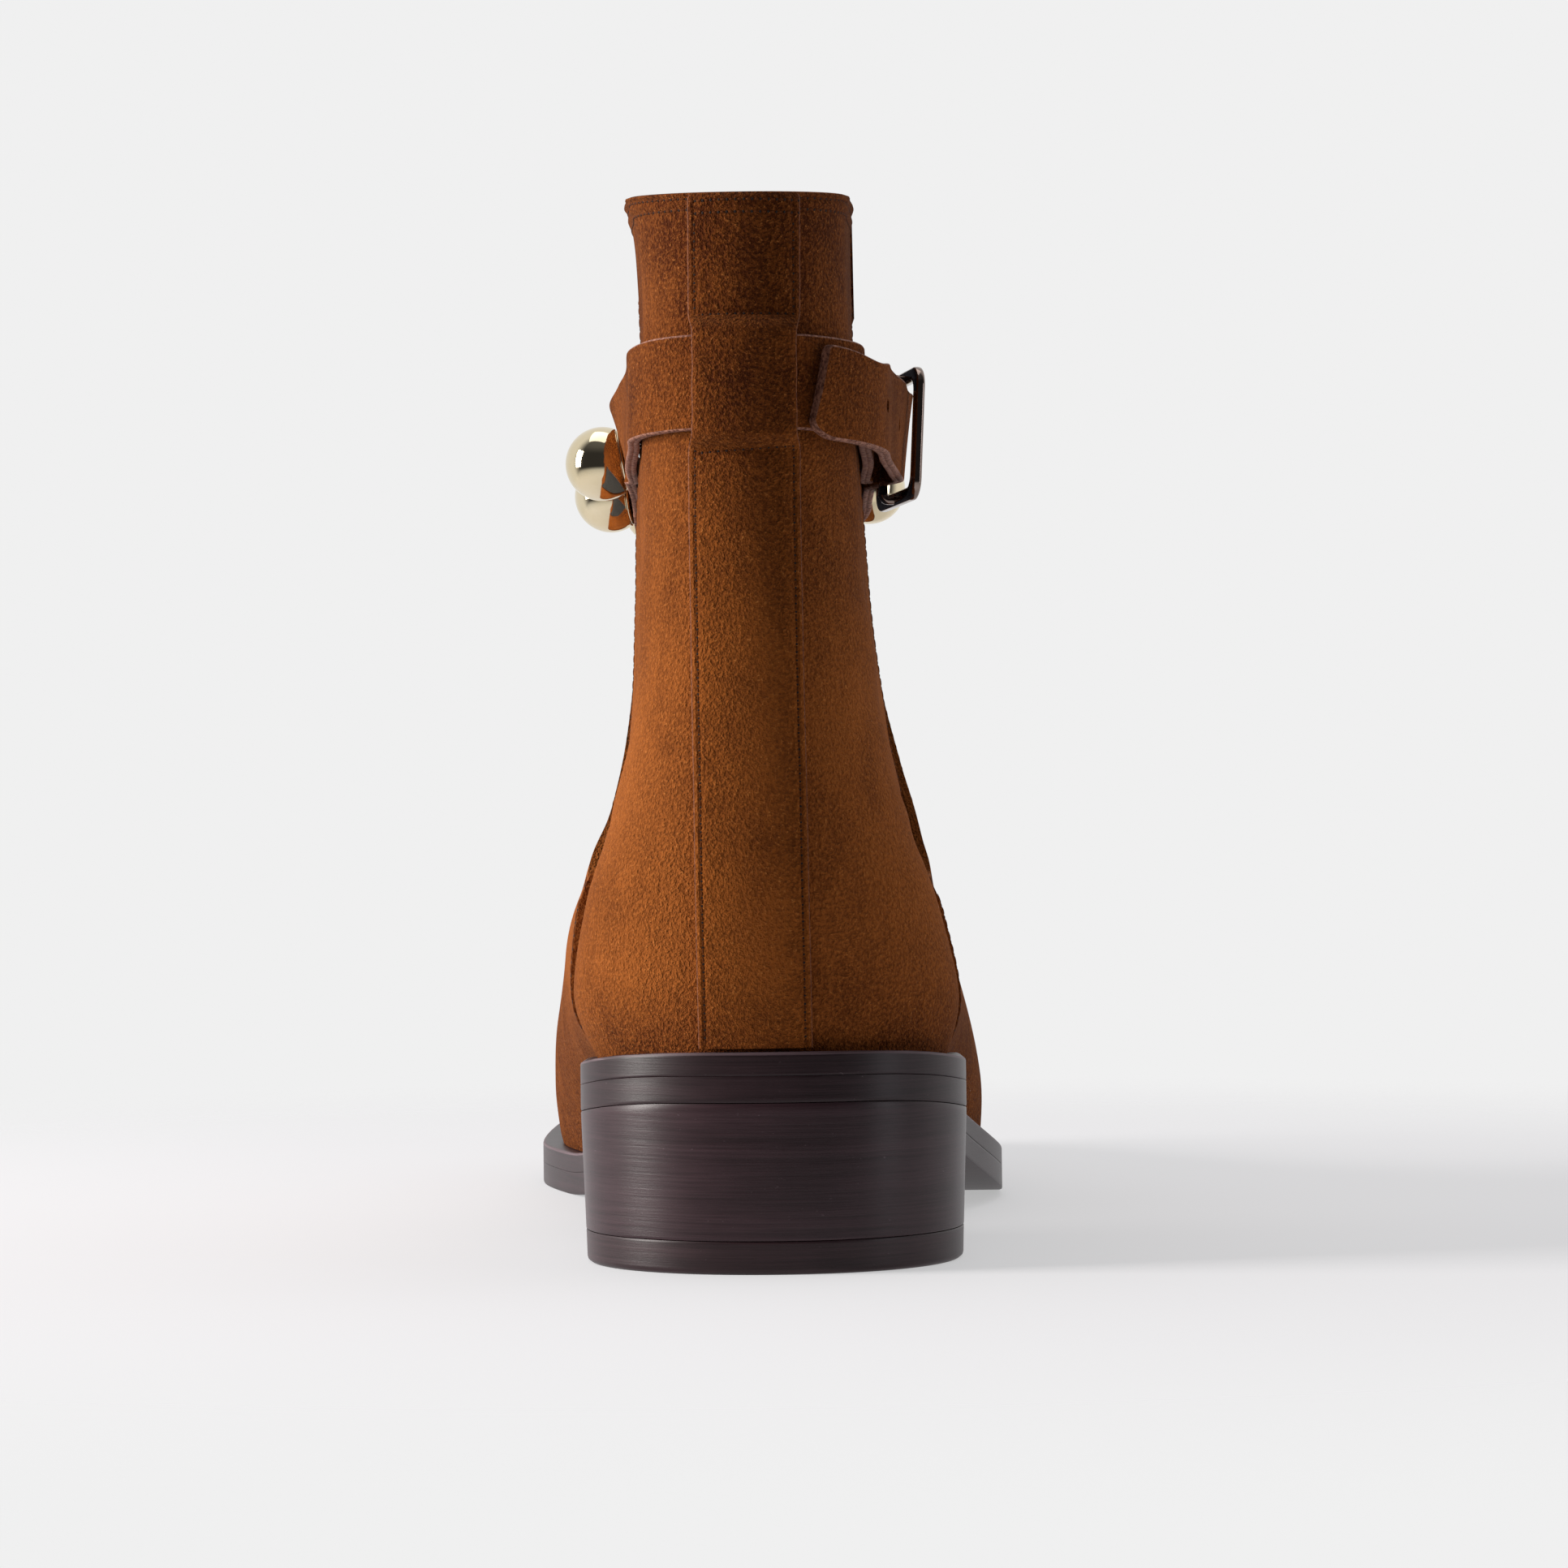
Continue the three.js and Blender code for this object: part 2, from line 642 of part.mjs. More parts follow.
// The back strip: narrow grid on the back of the upper, lifted over the strap
function aroundAtX(z, x) {
  let low = -backSteps;
  let high = backSteps;
  for (let turn = 0; turn < halvings; turn += 1) {
    const middle = (low + high) / 2;
    const point = outsidePoint(shareAtHeight(middle, z), middle);
    if (point.x < x) low = middle;
    else high = middle;
  }
  return (low + high) / 2;
}

function makeBackStrip() {
  const { z: strapZ, lift } = strapRow(0);
  const over = lift + strapThickness + clearance;
  const bandHalf = strapWidth / 2 + 2 * clearance;
  const standOff = (z) => {
    const away = Math.abs(z - strapZ) - bandHalf;
    return lerp(over, clearance, smooth(clamp(away / stripRamp, 0, 1)));
  };
  const bottomZ = soleTop(upperSection(0).backY) + 2 * clearance;
  const topZ = collarHeight - clearance;
  const heights = [];
  const plainSteps = 14;
  const rampSteps = 3;
  const lowRamp = strapZ - bandHalf - stripRamp;
  const highRamp = strapZ + bandHalf + stripRamp;
  for (let i = 0; i < plainSteps; i += 1) heights.push(lerp(bottomZ, lowRamp, i / plainSteps));
  for (let i = 0; i < rampSteps; i += 1) heights.push(lerp(lowRamp, lowRamp + stripRamp, i / rampSteps));
  for (let i = 0; i < rampSteps; i += 1) {
    heights.push(lerp(lowRamp + stripRamp, highRamp - stripRamp, i / rampSteps));
  }
  for (let i = 0; i < rampSteps; i += 1) heights.push(lerp(highRamp - stripRamp, highRamp, i / rampSteps));
  for (let i = 0; i <= rampSteps; i += 1) heights.push(lerp(highRamp, topZ, i / rampSteps));
  const across = [-1, -0.5, 0, 0.5, 1];
  const loops = heights.map((z) => {
    const centre = outsidePoint(shareAtHeight(0, z), 0).x;
    const places = across.map((share) => aroundAtX(z, centre + share * stripWidth / 2));
    const rows = places.map((around) => shareAtHeight(around, z));
    const stand = standOff(z);
    const outside = places.map((around, i) => offsetPoint(rows[i], around, stand + stripThickness));
    const inside = places.map((around, i) => offsetPoint(rows[i], around, stand)).reverse();
    return [...outside, ...inside];
  });
  return loft(loops, { fold: loops[0].length - 1 });
}

// Rounded rectangle as a path for the buckle
function roundedRectangle(target, length, height, corner) {
  const x = length / 2;
  const y = height / 2;
  target.moveTo(-x + corner, -y);
  target.lineTo(x - corner, -y);
  target.absarc(x - corner, -y + corner, corner, -Math.PI / 2, 0, false);
  target.lineTo(x, y - corner);
  target.absarc(x - corner, y - corner, corner, 0, Math.PI / 2, false);
  target.lineTo(-x + corner, y);
  target.absarc(-x + corner, y - corner, corner, Math.PI / 2, Math.PI, false);
  target.lineTo(-x, -y + corner);
  target.absarc(-x + corner, -y + corner, corner, Math.PI, 1.5 * Math.PI, false);
  return target;
}

// The buckle lies on the strap: its own x runs forward, y up, z outward. Its front and rear bars
// stand clear of the strap below them, and its centre bar lies between the strap's two layers.
const barGap = 3.2 * clearance;
function buckleFrame() {
  const barShare = 0.5 - buckleBar / buckleLength;
  const overStrap = strapThickness + barGap + buckleThickness / 2;
  const [front, rear] = [barShare, -barShare].map((share) => strapPoint(besideBar(share), 0, overStrap));
  const top = strapPoint(buckleAround, 1, 0);
  const bottom = strapPoint(buckleAround, -1, 0);
  const forward = front.clone().sub(rear).normalize();
  const outward = forward.clone().cross(top.clone().sub(bottom)).normalize();
  const up = outward.clone().cross(forward).normalize();
  const centre = front.clone().lerp(rear, 0.5);
  const over = strapPoint(buckleAround, 0, 0);
  const under = strapPoint(strapTable[0].around, 0, strapThickness);
  const barDrop = centre.clone().sub(over.lerp(under, 0.5)).dot(outward);
  return { forward, up, outward, centre, barDrop };
}
const buckleAt = buckleFrame();
function buckleMatrix() {
  const { forward, up, outward, centre } = buckleAt;
  return new THREE.Matrix4().makeBasis(forward, up, outward).setPosition(centre);
}

function plate(shape, thickness) {
  const geometry = new THREE.ExtrudeGeometry(shape, {
    depth: thickness,
    bevelEnabled: false,
    curveSegments: 4,
  });
  geometry.translate(0, 0, -thickness / 2);
  return geometry;
}

function makeBuckleFrame() {
  const shape = roundedRectangle(new THREE.Shape(), buckleLength, buckleHeight, buckleCorner);
  const inner = [buckleLength - 2 * buckleBar, buckleHeight - 2 * buckleBar];
  shape.holes.push(roundedRectangle(new THREE.Path(), inner[0], inner[1], buckleCorner - buckleBar / 2));
  return toSolid(plate(shape, buckleThickness));
}

// The centre bar, on two short legs from the frame
const centreBarDrop = buckleAt.barDrop;
const legThickness = 0.8 * buckleBar;
function makeCentreBar() {
  const bar = new THREE.BoxGeometry(buckleBar, buckleHeight, buckleThickness);
  bar.translate(0, 0, -centreBarDrop);
  const legs = [-1, 1].map((side) => {
    const leg = new THREE.BoxGeometry(buckleBar, legThickness, centreBarDrop);
    leg.translate(0, side * (buckleHeight - legThickness) / 2, -centreBarDrop / 2);
    return toSolid(leg);
  });
  return toSolid(bar).add(legs[0]).add(legs[1]);
}

// The prong rises from the centre bar through the strap and lies on the front bar
const prongTip = 0.8 * prongThickness;
const prongTaper = 1.3 * buckleBar;
function prongPlate(grow) {
  const frontBar = buckleLength / 2;
  const lowZ = buckleThickness / 2 + clearance;
  const outline = drawnIn([
    [buckleBar / 2 + clearance, -centreBarDrop - prongThickness / 2],
    [frontBar - buckleBar, lowZ],
    [frontBar, lowZ],
    [frontBar, lowZ + prongTip],
    [frontBar - prongTaper, lowZ + prongThickness],
    [buckleBar / 2 + clearance, -centreBarDrop + prongThickness / 2],
  ], -grow);
  const shape = new THREE.Shape(outline.map(([x, y]) => new THREE.Vector2(x, y)));
  const depth = prongWidth + 2 * grow;
  const geometry = new THREE.ExtrudeGeometry(shape, { depth, bevelEnabled: false });
  geometry.translate(0, 0, -depth / 2);
  geometry.rotateX(Math.PI / 2);
  return geometry;
}

function mesh(name, geometry, color, roughness, metalness) {
  const material = new THREE.MeshStandardMaterial({ color, roughness, metalness });
  const piece = new THREE.Mesh(geometry, material);
  piece.name = name;
  return piece;
}

const boot = new THREE.Group();
boot.add(mesh('welt', makeWelt(), '#3a2b2f', 0.35, 0));
boot.add(mesh('outsole', makeOutsole(), '#33262a', 0.4, 0));
boot.add(mesh('heel_stack', makeHeelStack(), '#33262a', 0.4, 0));
boot.add(mesh('top_lift', makeTopLift(), '#2b2124', 0.5, 0));
boot.add(mesh('insole', makeInsole(), '#8a6a4c', 0.8, 0));
boot.add(mesh('upper', makeUpper(), '#7c4420', 0.9, 0));
boot.add(mesh('gore_inner', makeGore(-1), '#3b3c44', 0.9, 0));
boot.add(mesh('gore_outer', makeGore(1), '#3b3c44', 0.9, 0));
boot.add(mesh('back_strip', makeBackStrip(), '#7c4420', 0.9, 0));
boot.add(mesh('ankle_strap', makeStrap(), '#7c4420', 0.9, 0));

// Ball studs: a ball with a flat foot on the strap, from the inner side round the front
const studPlaces = [-0.585, -0.69, -0.85, -1.04, -1.23];
function makeStud() {
  const profile = [new THREE.Vector2(0, 0)];
  const arcSteps = 9;
  const start = -Math.asin(studSink);
  for (let i = 0; i < arcSteps; i += 1) {
    const angle = lerp(start, Math.PI / 2, i / arcSteps);
    profile.push(new THREE.Vector2(Math.cos(angle), Math.sin(angle) + studSink).multiplyScalar(studRadius));
  }
  profile.push(new THREE.Vector2(0, studRadius * (1 + studSink)));
  return new THREE.LatheGeometry(profile, 16);
}
studPlaces.forEach((around, index) => {
  const { middle, out } = strapSpot(around);
  const stud = mesh(`stud_${index + 1}`, makeStud(), '#d8c7a2', 0.12, 1);
  stud.position.copy(middle).addScaledVector(out, 2 * clearance);
  stud.quaternion.setFromUnitVectors(new THREE.Vector3(0, 1, 0), out);
  boot.add(stud);
});

const buckle = new THREE.Group();
buckle.add(mesh('buckle_frame', toGeometry(makeBuckleFrame().add(makeCentreBar())), '#8d8478', 0.15, 1));
buckle.add(mesh('buckle_prong', toGeometry(toSolid(prongPlate(0))), '#8d8478', 0.15, 1));
buckle.applyMatrix4(buckleMatrix());
boot.add(buckle);

export default boot;
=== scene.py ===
# Ankle boot for the right foot, in metres. +Z is up, the toe points along +Y, the outer side is +X.
import math

import bmesh
import bpy
import numpy as np
from mathutils import Matrix, Quaternion, Vector


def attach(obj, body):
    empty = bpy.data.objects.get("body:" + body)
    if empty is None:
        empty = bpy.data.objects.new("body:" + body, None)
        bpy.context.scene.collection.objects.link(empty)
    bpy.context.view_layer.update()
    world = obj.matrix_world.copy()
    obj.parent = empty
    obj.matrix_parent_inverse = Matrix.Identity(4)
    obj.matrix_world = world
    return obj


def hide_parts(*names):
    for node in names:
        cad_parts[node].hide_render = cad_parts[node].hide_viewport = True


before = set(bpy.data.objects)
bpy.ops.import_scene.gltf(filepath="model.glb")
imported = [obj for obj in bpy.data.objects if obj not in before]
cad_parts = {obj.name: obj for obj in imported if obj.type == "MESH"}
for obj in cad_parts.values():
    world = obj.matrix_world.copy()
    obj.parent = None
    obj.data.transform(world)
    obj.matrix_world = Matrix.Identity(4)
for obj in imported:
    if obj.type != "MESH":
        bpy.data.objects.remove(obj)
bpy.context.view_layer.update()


# Floor, light and camera
# A pale sweep that fades into the white backdrop, a large soft box on the left and a small one on
# the right. The room behind the camera is dark, which is what the polished metal mirrors.
def linear(code):
    channels = [int(code[i:i + 2], 16) / 255 for i in (1, 3, 5)]
    return tuple(c / 12.92 if c <= 0.04045 else ((c + 0.055) / 1.055) ** 2.4 for c in channels) + (1.0,)


class Value:
    """A socket that takes part in sums, so that a recipe reads as plain maths."""

    def __init__(self, recipe, socket):
        self.recipe = recipe
        self.socket = socket

    def maths(self, operation, *others):
        inputs = dict(enumerate((self,) + others))
        return self.recipe.node("ShaderNodeMath", {"operation": operation}, inputs)

    def __add__(self, other):
        return self.maths("ADD", other)

    def __sub__(self, other):
        return self.maths("SUBTRACT", other)

    def __mul__(self, other):
        return self.maths("MULTIPLY", other)

    def between(self, low, high, start=0.0, end=1.0):
        inputs = {0: self, 1: low, 2: high, 3: start, 4: end}
        settings = {"interpolation_type": "SMOOTHSTEP", "clamp": True}
        return self.recipe.node("ShaderNodeMapRange", settings, inputs)

    def blend(self, start, end):
        settings = {"data_type": "RGBA", "clamp_factor": True}
        return self.recipe.node("ShaderNodeMix", settings, {0: self, 6: start, 7: end}, 2)


class Recipe:
    """A node tree and the one method that adds a node to it."""

    def __init__(self, tree):
        self.tree = tree
        tree.nodes.clear()

    def node(self, kind, settings=None, inputs=None, output=0):
        made = self.tree.nodes.new(kind)
        for key, setting in (settings or {}).items():
            setattr(made, key, setting)
        for key, given in (inputs or {}).items():
            if isinstance(given, Value):
                self.tree.links.new(given.socket, made.inputs[key])
            else:
                made.inputs[key].default_value = given
        return Value(self, made.outputs[output]) if made.outputs else made

    def place(self):
        """Where a point lies on its own piece."""
        return self.node("ShaderNodeTexCoord", {}, {}, 3)

    def surface(self, inputs):
        shader = self.node("ShaderNodeBsdfPrincipled", {}, inputs)
        self.node("ShaderNodeOutputMaterial", {}, {0: shader})

    def noise(self, place, scale, detail=2.0, rough=0.5):
        inputs = {"Vector": place, "Scale": scale, "Detail": detail, "Roughness": rough}
        return self.node("ShaderNodeTexNoise", {}, inputs)

    def stretched(self, place, scale):
        return self.node("ShaderNodeMapping", {}, {"Vector": place, "Scale": scale})

    def bump(self, height, distance, strength, below=None):
        inputs = {"Height": height, "Distance": distance, "Strength": strength}
        if below is not None:
            inputs["Normal"] = below
        return self.node("ShaderNodeBump", {}, inputs)


def new_material(name):
    material = bpy.data.materials.new(name)
    material.use_nodes = True
    return material, Recipe(material.node_tree)


world = bpy.data.worlds.new("studio")
bpy.context.scene.world = world
world.use_nodes = True
sky = Recipe(world.node_tree)
direction = sky.node("ShaderNodeTexCoord", {}, {}, 0)
split = sky.node("ShaderNodeSeparateXYZ", {}, {0: direction})
ahead = Value(sky, split.socket.node.outputs[1])
height = Value(sky, split.socket.node.outputs[2])
backdrop = ahead.between(-0.35, 0.25)
dome = height.between(0.45, 0.9)
ground = height.between(-0.18, -0.4)
lit = backdrop.maths("MAXIMUM", dome * 0.1).maths("MAXIMUM", ground * 0.75)
white = (0.871, 0.871, 0.871, 1.0)
glow = lit.blend((0.035, 0.034, 0.036, 1.0), white)
sky.node("ShaderNodeOutputWorld", {}, {0: sky.node("ShaderNodeBackground", {}, {0: glow, 1: 1.0})})

bpy.ops.mesh.primitive_plane_add(size=6.0)
floor = bpy.context.object
floor.name = "floor"
floor_material, paint = new_material("pale_floor")
place = paint.place()
away = paint.node("ShaderNodeVectorMath", {"operation": "DISTANCE"},
                  {0: place, 1: (0.0, 0.1, 0.0)}, 1)
matte = paint.node("ShaderNodeBsdfDiffuse", {}, {0: (0.735, 0.725, 0.755, 1.0)})
white_glow = paint.node("ShaderNodeEmission", {}, {0: (0.871, 0.871, 0.871, 1.0)})
matte = paint.node("ShaderNodeMixShader", {}, {0: 0.5, 1: matte, 2: white_glow})
clear = paint.node("ShaderNodeBsdfTransparent", {}, {0: (1.0, 1.0, 1.0, 1.0)})
fade = away.between(0.17, 0.40)
mixed = paint.node("ShaderNodeMixShader", {}, {0: fade, 1: matte, 2: clear})
paint.node("ShaderNodeOutputMaterial", {}, {0: mixed})
floor.data.materials.append(floor_material)


def soft_box(name, place, aim, size, watts, colour):
    data = bpy.data.lights.new(name, "AREA")
    data.shape = "RECTANGLE"
    data.size, data.size_y = size
    data.energy = watts
    data.color = colour
    lamp = bpy.data.objects.new(name, data)
    lamp.location = place
    lamp.rotation_mode = "QUATERNION"
    lamp.rotation_quaternion = (Vector(aim) - Vector(place)).to_track_quat("-Z", "Y")
    bpy.context.scene.collection.objects.link(lamp)


soft_box("key", (-1.15, -0.15, 0.38), (0.0, 0.02, 0.04), (0.4, 0.8), 25.5, (1.0, 0.97, 0.93))
soft_box("fill", (1.0, -0.45, 0.12), (0.0, 0.02, 0.04), (0.25, 0.7), 1.8, (0.93, 0.95, 1.0))
soft_box("top", (-0.1, 0.1, 1.3), (0.0, 0.05, 0.0), (0.9, 0.9), 3.5, (1.0, 1.0, 1.0))

camera_data = bpy.data.cameras.new("camera")
camera_data.sensor_width = 36.0
camera_data.lens = 102.63
camera = bpy.data.objects.new("camera", camera_data)
camera.location = (0.0, -0.732, 0.072)
camera.rotation_mode = "QUATERNION"
looking = Vector((14 / 5508, 1.0, 39 / 5508)).to_track_quat("-Z", "Y")
camera.rotation_quaternion = looking @ Quaternion((0.0, 0.0, 1.0), math.radians(-0.7))
bpy.context.scene.collection.objects.link(camera)
bpy.context.scene.camera = camera
bpy.context.scene.view_settings.view_transform = "Standard"


# Upper: quarters and vamp
# Tan suede, cut, lasted over a foot form and drawn down under the insole. The quarters meet under
# the back strip; the vamp lies over them and is stitched along its edge.
# The form is a stack of ten sections from the sole's edge up to the collar. In each row: back and
# front ends, their rise, how far the section follows the sole, the middle of both ends, depth of the
# heel and of the toe, and widths at heel, waist and ball. Inner side first, then outer side.
form = np.array([
    [-0.113, 0, 0.863, 0, 1, -0.036, -0.09, 0.112, 0.27, 0.43, 0.465, 0.448, 0.27, 0.3, 0.466, 0.418],
    [-0.117, 0.08, 0.874, 0.037, 0.7, -0.037, -0.09, 0.115, 0.27, 0.43, 0.53, 0.484, 0.39, 0.35, 0.48, 0.423],
    [-0.118, 0.2, 0.847, 0.093, 0.4, -0.039, -0.085, 0.115, 0.26, 0.37, 0.492, 0.424, 0.41, 0.335, 0.458, 0.386],
    [-0.113, 0.3, 0.775, 0.143, 0.18, -0.04, -0.07, 0.11, 0.195, 0.26, 0.43, 0.357, 0.37, 0.303, 0.37, 0.32],
    [-0.105, 0.405, 0.672, 0.2, 0.06, -0.042, -0.055, 0.1, 0.15, 0.18, 0.379, 0.305, 0.315, 0.272, 0.3, 0.273],
    [-0.098, 0.51, 0.557, 0.292, 0, -0.043, -0.045, 0.092, 0.115, 0.13, 0.351, 0.269, 0.285, 0.238, 0.275, 0.247],
    [-0.094, 0.62, 0.454, 0.416, 0, -0.044, -0.045, 0.087, 0.095, 0.1, 0.339, 0.246, 0.267, 0.203, 0.259, 0.208],
    [-0.094, 0.74, 0.378, 0.571, 0, -0.043, -0.05, 0.085, 0.088, 0.09, 0.334, 0.231, 0.256, 0.181, 0.248, 0.18],
    [-0.099, 0.865, 0.34, 0.75, 0, -0.041, -0.055, 0.083, 0.085, 0.085, 0.326, 0.216, 0.241, 0.165, 0.228, 0.16],
    [-0.107, 1, 0.317, 1, 0, -0.039, -0.06, 0.083, 0.083, 0.083, 0.343, 0.21, 0.254, 0.16, 0.236, 0.154],
])
sole_length = 0.262
ball_width = 0.0885
heel_width = 0.062
heel_height = 0.035
sole_thickness = 0.008
toe_spring = 0.009
collar_height = 0.1705
collar_rise = 0.0065
shaft_run = 0.145
clear_of_boot = 0.09


def mix(start, end, share):
    return start + (end - start) * share


def ease(share):
    share = np.clip(share, 0.0, 1.0)
    return share * share * (3.0 - 2.0 * share)


def sole_top(y):
    y = np.asarray(y, float)
    arch = ease((y - 0.05 * sole_length) / (0.435 * sole_length))
    lift = np.clip((y - 0.555 * sole_length) / (0.323 * sole_length), 0.0, 2.0)
    seat = heel_height - 0.0029 * ease((y + 0.032) / 0.034)
    behind = mix(seat, sole_thickness, arch)
    return np.where(y <= 0.485 * sole_length, behind, sole_thickness + toe_spring * lift ** 2)


def round_off(share):
    return (1.0 - np.clip(share, 0.0, 1.0) ** 2.1) ** (1 / 2.1)


def curve(start, end, lean, bend, t):
    change = end - start
    return start + t * (lean + t * (3 * change - 2 * lean - bend + t * (lean + bend - 2 * change)))


def side_of(row, outer, y):
    (back, _, front, _, _, back_x, front_x, depth, toe_in, toe_out,
     heel_in, heel_out, mid_in, mid_out, ball_in, ball_out) = np.moveaxis(row, -1, 0)
    sign = np.where(outer, 1.0, -1.0)
    back_y, front_y = back * sole_length, front * sole_length
    heel_y = back_y + depth * sole_length
    ball_y = front_y - np.where(outer, toe_out, toe_in) * sole_length
    heel = np.where(outer, heel_out, heel_in) * heel_width
    mid = np.where(outer, mid_out, mid_in) * ball_width
    ball = np.where(outer, ball_out, ball_in) * ball_width
    mid_y = mix(heel_y, ball_y, 0.45)
    before, after = (mid - heel) / (mid_y - heel_y), (ball - mid) / (ball_y - mid_y)
    both = before + after
    slope = np.where(before * after <= 0, 0.0, 2 * before * after / np.where(both == 0, 1.0, both))
    late = y > mid_y
    from_y, start, end = np.where(late, mid_y, heel_y), np.where(late, mid, heel), np.where(late, ball, mid)
    span = np.where(late, ball_y - mid_y, mid_y - heel_y)
    t = np.clip((y - from_y) / span, 0.0, 1.0)
    width = curve(start, end, np.where(late, slope * span, 0.0), np.where(late, 0.0, slope * span), t)
    at_back = mix(back_x * ball_width, sign * heel, round_off((heel_y - y) / (heel_y - back_y)))
    at_toe = mix(front_x * ball_width, sign * ball, round_off((y - ball_y) / (front_y - ball_y)))
    return np.where(y < heel_y, at_back, np.where(y > ball_y, at_toe, sign * width))


def outside(share, around):
    """The form's outside. share runs from the welt up to the collar; around runs 0 to 48 from the
    back over the outer side, with 24 at the toe."""
    share, around = np.broadcast_arrays(np.asarray(share, float), np.asarray(around, float))
    place = np.clip(share, 0.0, 1.0) * (len(form) - 1)
    low = np.minimum(place.astype(int), len(form) - 2)
    before, start, end, after = (form[np.clip(low + step, 0, len(form) - 1)] for step in (-1, 0, 1, 2))
    row = curve(start, end, (end - before) / 2, (after - start) / 2, (place - low)[..., None])
    back_y, front_y = row[..., 0] * sole_length, row[..., 2] * sole_length
    heel_y = back_y + row[..., 7] * sole_length
    arc_y = front_y - np.minimum(row[..., 8], row[..., 9]) * sole_length
    turn = around % 48
    step = np.where(turn <= 24, turn, 48 - turn)
    y = np.where(step <= 6, heel_y - (heel_y - back_y) * np.cos(step / 12 * np.pi),
                 np.where(step <= 15, mix(heel_y, arc_y, (step - 6) / 9),
                          arc_y + (front_y - arc_y) * np.sin((step - 15) / 18 * np.pi)))
    along = np.clip((y - back_y) / (front_y - back_y), 0.0, 1.0)
    back_floor, front_floor = sole_top(back_y), sole_top(front_y)
    back_z = mix(back_floor, collar_height, row[..., 1])
    front_z = mix(front_floor, collar_height + collar_rise, row[..., 3])
    follow = row[..., 4] * (sole_top(y) - mix(back_floor, front_floor, along))
    follow = follow + 0.0014 * np.sin(np.pi * along) * ease((share - 0.85) / 0.15)
    return np.stack([side_of(row, turn <= 24, y), y, mix(back_z, front_z, along) + follow], axis=-1)


def outward(share, around):
    share = np.asarray(share, float)
    up = outside(np.minimum(share + 0.01, 1), around) - outside(np.maximum(share - 0.01, 0), around)
    along = outside(share, around + 0.25) - outside(share, around - 0.25)
    normal = np.cross(along, up)
    edge = np.broadcast_to(np.minimum(share, 1 - share), normal.shape[:-1])
    normal[..., 2] = normal[..., 2] * ease(edge / 0.08)
    return normal / np.linalg.norm(normal, axis=-1, keepdims=True)


def off(share, around, offset):
    share, around, offset = np.broadcast_arrays(*(np.asarray(v, float) for v in (share, around, offset)))
    return outside(share, around) + outward(share, around) * offset[..., None]


def share_at(around, z):
    around, z = np.broadcast_arrays(np.asarray(around, float), np.asarray(z, float))
    low, high = np.zeros_like(z), np.ones_like(z)
    for _ in range(15):
        middle = (low + high) / 2
        under = outside(middle, around)[..., 2] < z
        low, high = np.where(under, middle, low), np.where(under, high, middle)
    return (low + high) / 2


# Soft folds, each a line from one place to another (around, height in mm), its half width in mm and
# its depth in mm, negative for a ridge
folds = [
    ((-4.6, 117), (-8.5, 112), 4.5, 0.45), ((-3.4, 108), (-8.2, 104), 5.0, -0.40),
    ((-3.6, 98), (-7.6, 95), 5.0, 0.30), ((3.6, 112), (7.4, 106), 4.5, 0.35),
    ((3.8, 101), (8.0, 96), 5.0, -0.35), ((4.2, 90), (8.4, 83), 4.5, 0.40),
    ((4.4, 79), (8.6, 69), 3.5, 0.55), ((5.2, 73), (9.2, 62), 3.0, -0.45),
    ((5.6, 68), (9.6, 56), 3.0, 0.45), ((-4.6, 86), (-8.8, 78), 4.0, 0.35),
    ((-5.0, 76), (-9.2, 66), 4.0, -0.35), ((-5.6, 70), (-9.4, 58), 3.0, 0.40),
    ((-3.2, 60), (-5.6, 56), 6.0, -0.35), ((3.4, 62), (6.0, 55), 6.0, -0.35),
    ((-4.0, 157), (-9.0, 161), 6.0, 0.30), ((4.2, 160), (8.6, 155), 5.0, 0.25),
    ((-15.0, 46), (-20.0, 50), 4.0, 0.5), ((15.0, 44), (20.0, 50), 4.0, 0.5),
    ((-14.2, 36), (-18.5, 33), 3.5, 0.35), ((14.2, 34), (18.0, 33), 3.5, 0.35),
    ((-19.5, 64), (-22.5, 70), 5.0, 0.8), ((19.5, 64), (22.5, 70), 5.0, 0.8),
    ((-20.0, 78), (-24.0, 84), 6.0, 0.7), ((20.0, 76), (24.0, 84), 6.0, 0.7),
]


def folded(share, around):
    """How far the suede stands off the form, with its folds."""
    points = outside(share, around)
    rise = np.zeros(points.shape[:-1])
    for (a1, z1), (a2, z2), width, depth in folds:
        ends = [outside(share_at(a, z * 0.001), a) for a, z in ((a1, z1), (a2, z2))]
        line = ends[1] - ends[0]
        t = np.clip(((points - ends[0]) @ line) / (line @ line), 0.0, 1.0)
        gap = np.linalg.norm(points - (ends[0] + t[..., None] * line), axis=-1)
        taper = 0.35 + 0.65 * np.sin(np.pi * np.clip(t, 0.0, 1.0))
        rise -= depth * 0.001 * taper * np.exp(-(gap / (width * 0.001)) ** 2)
    return rise


def wall(name, shares, arounds, inner, outer, coarse=6):
    """A closed wall all the way round, its outside as fine as the given steps."""
    grid_share, grid_around = np.meshgrid(shares, arounds)
    shown = off(grid_share, grid_around, outer(grid_share, grid_around))
    back_share, back_around = np.meshgrid(shares[::-1][::coarse], arounds)
    hidden = off(back_share, back_around, inner(back_share, back_around))
    return mesh_of(name, np.concatenate([shown, hidden], axis=1), True, True)


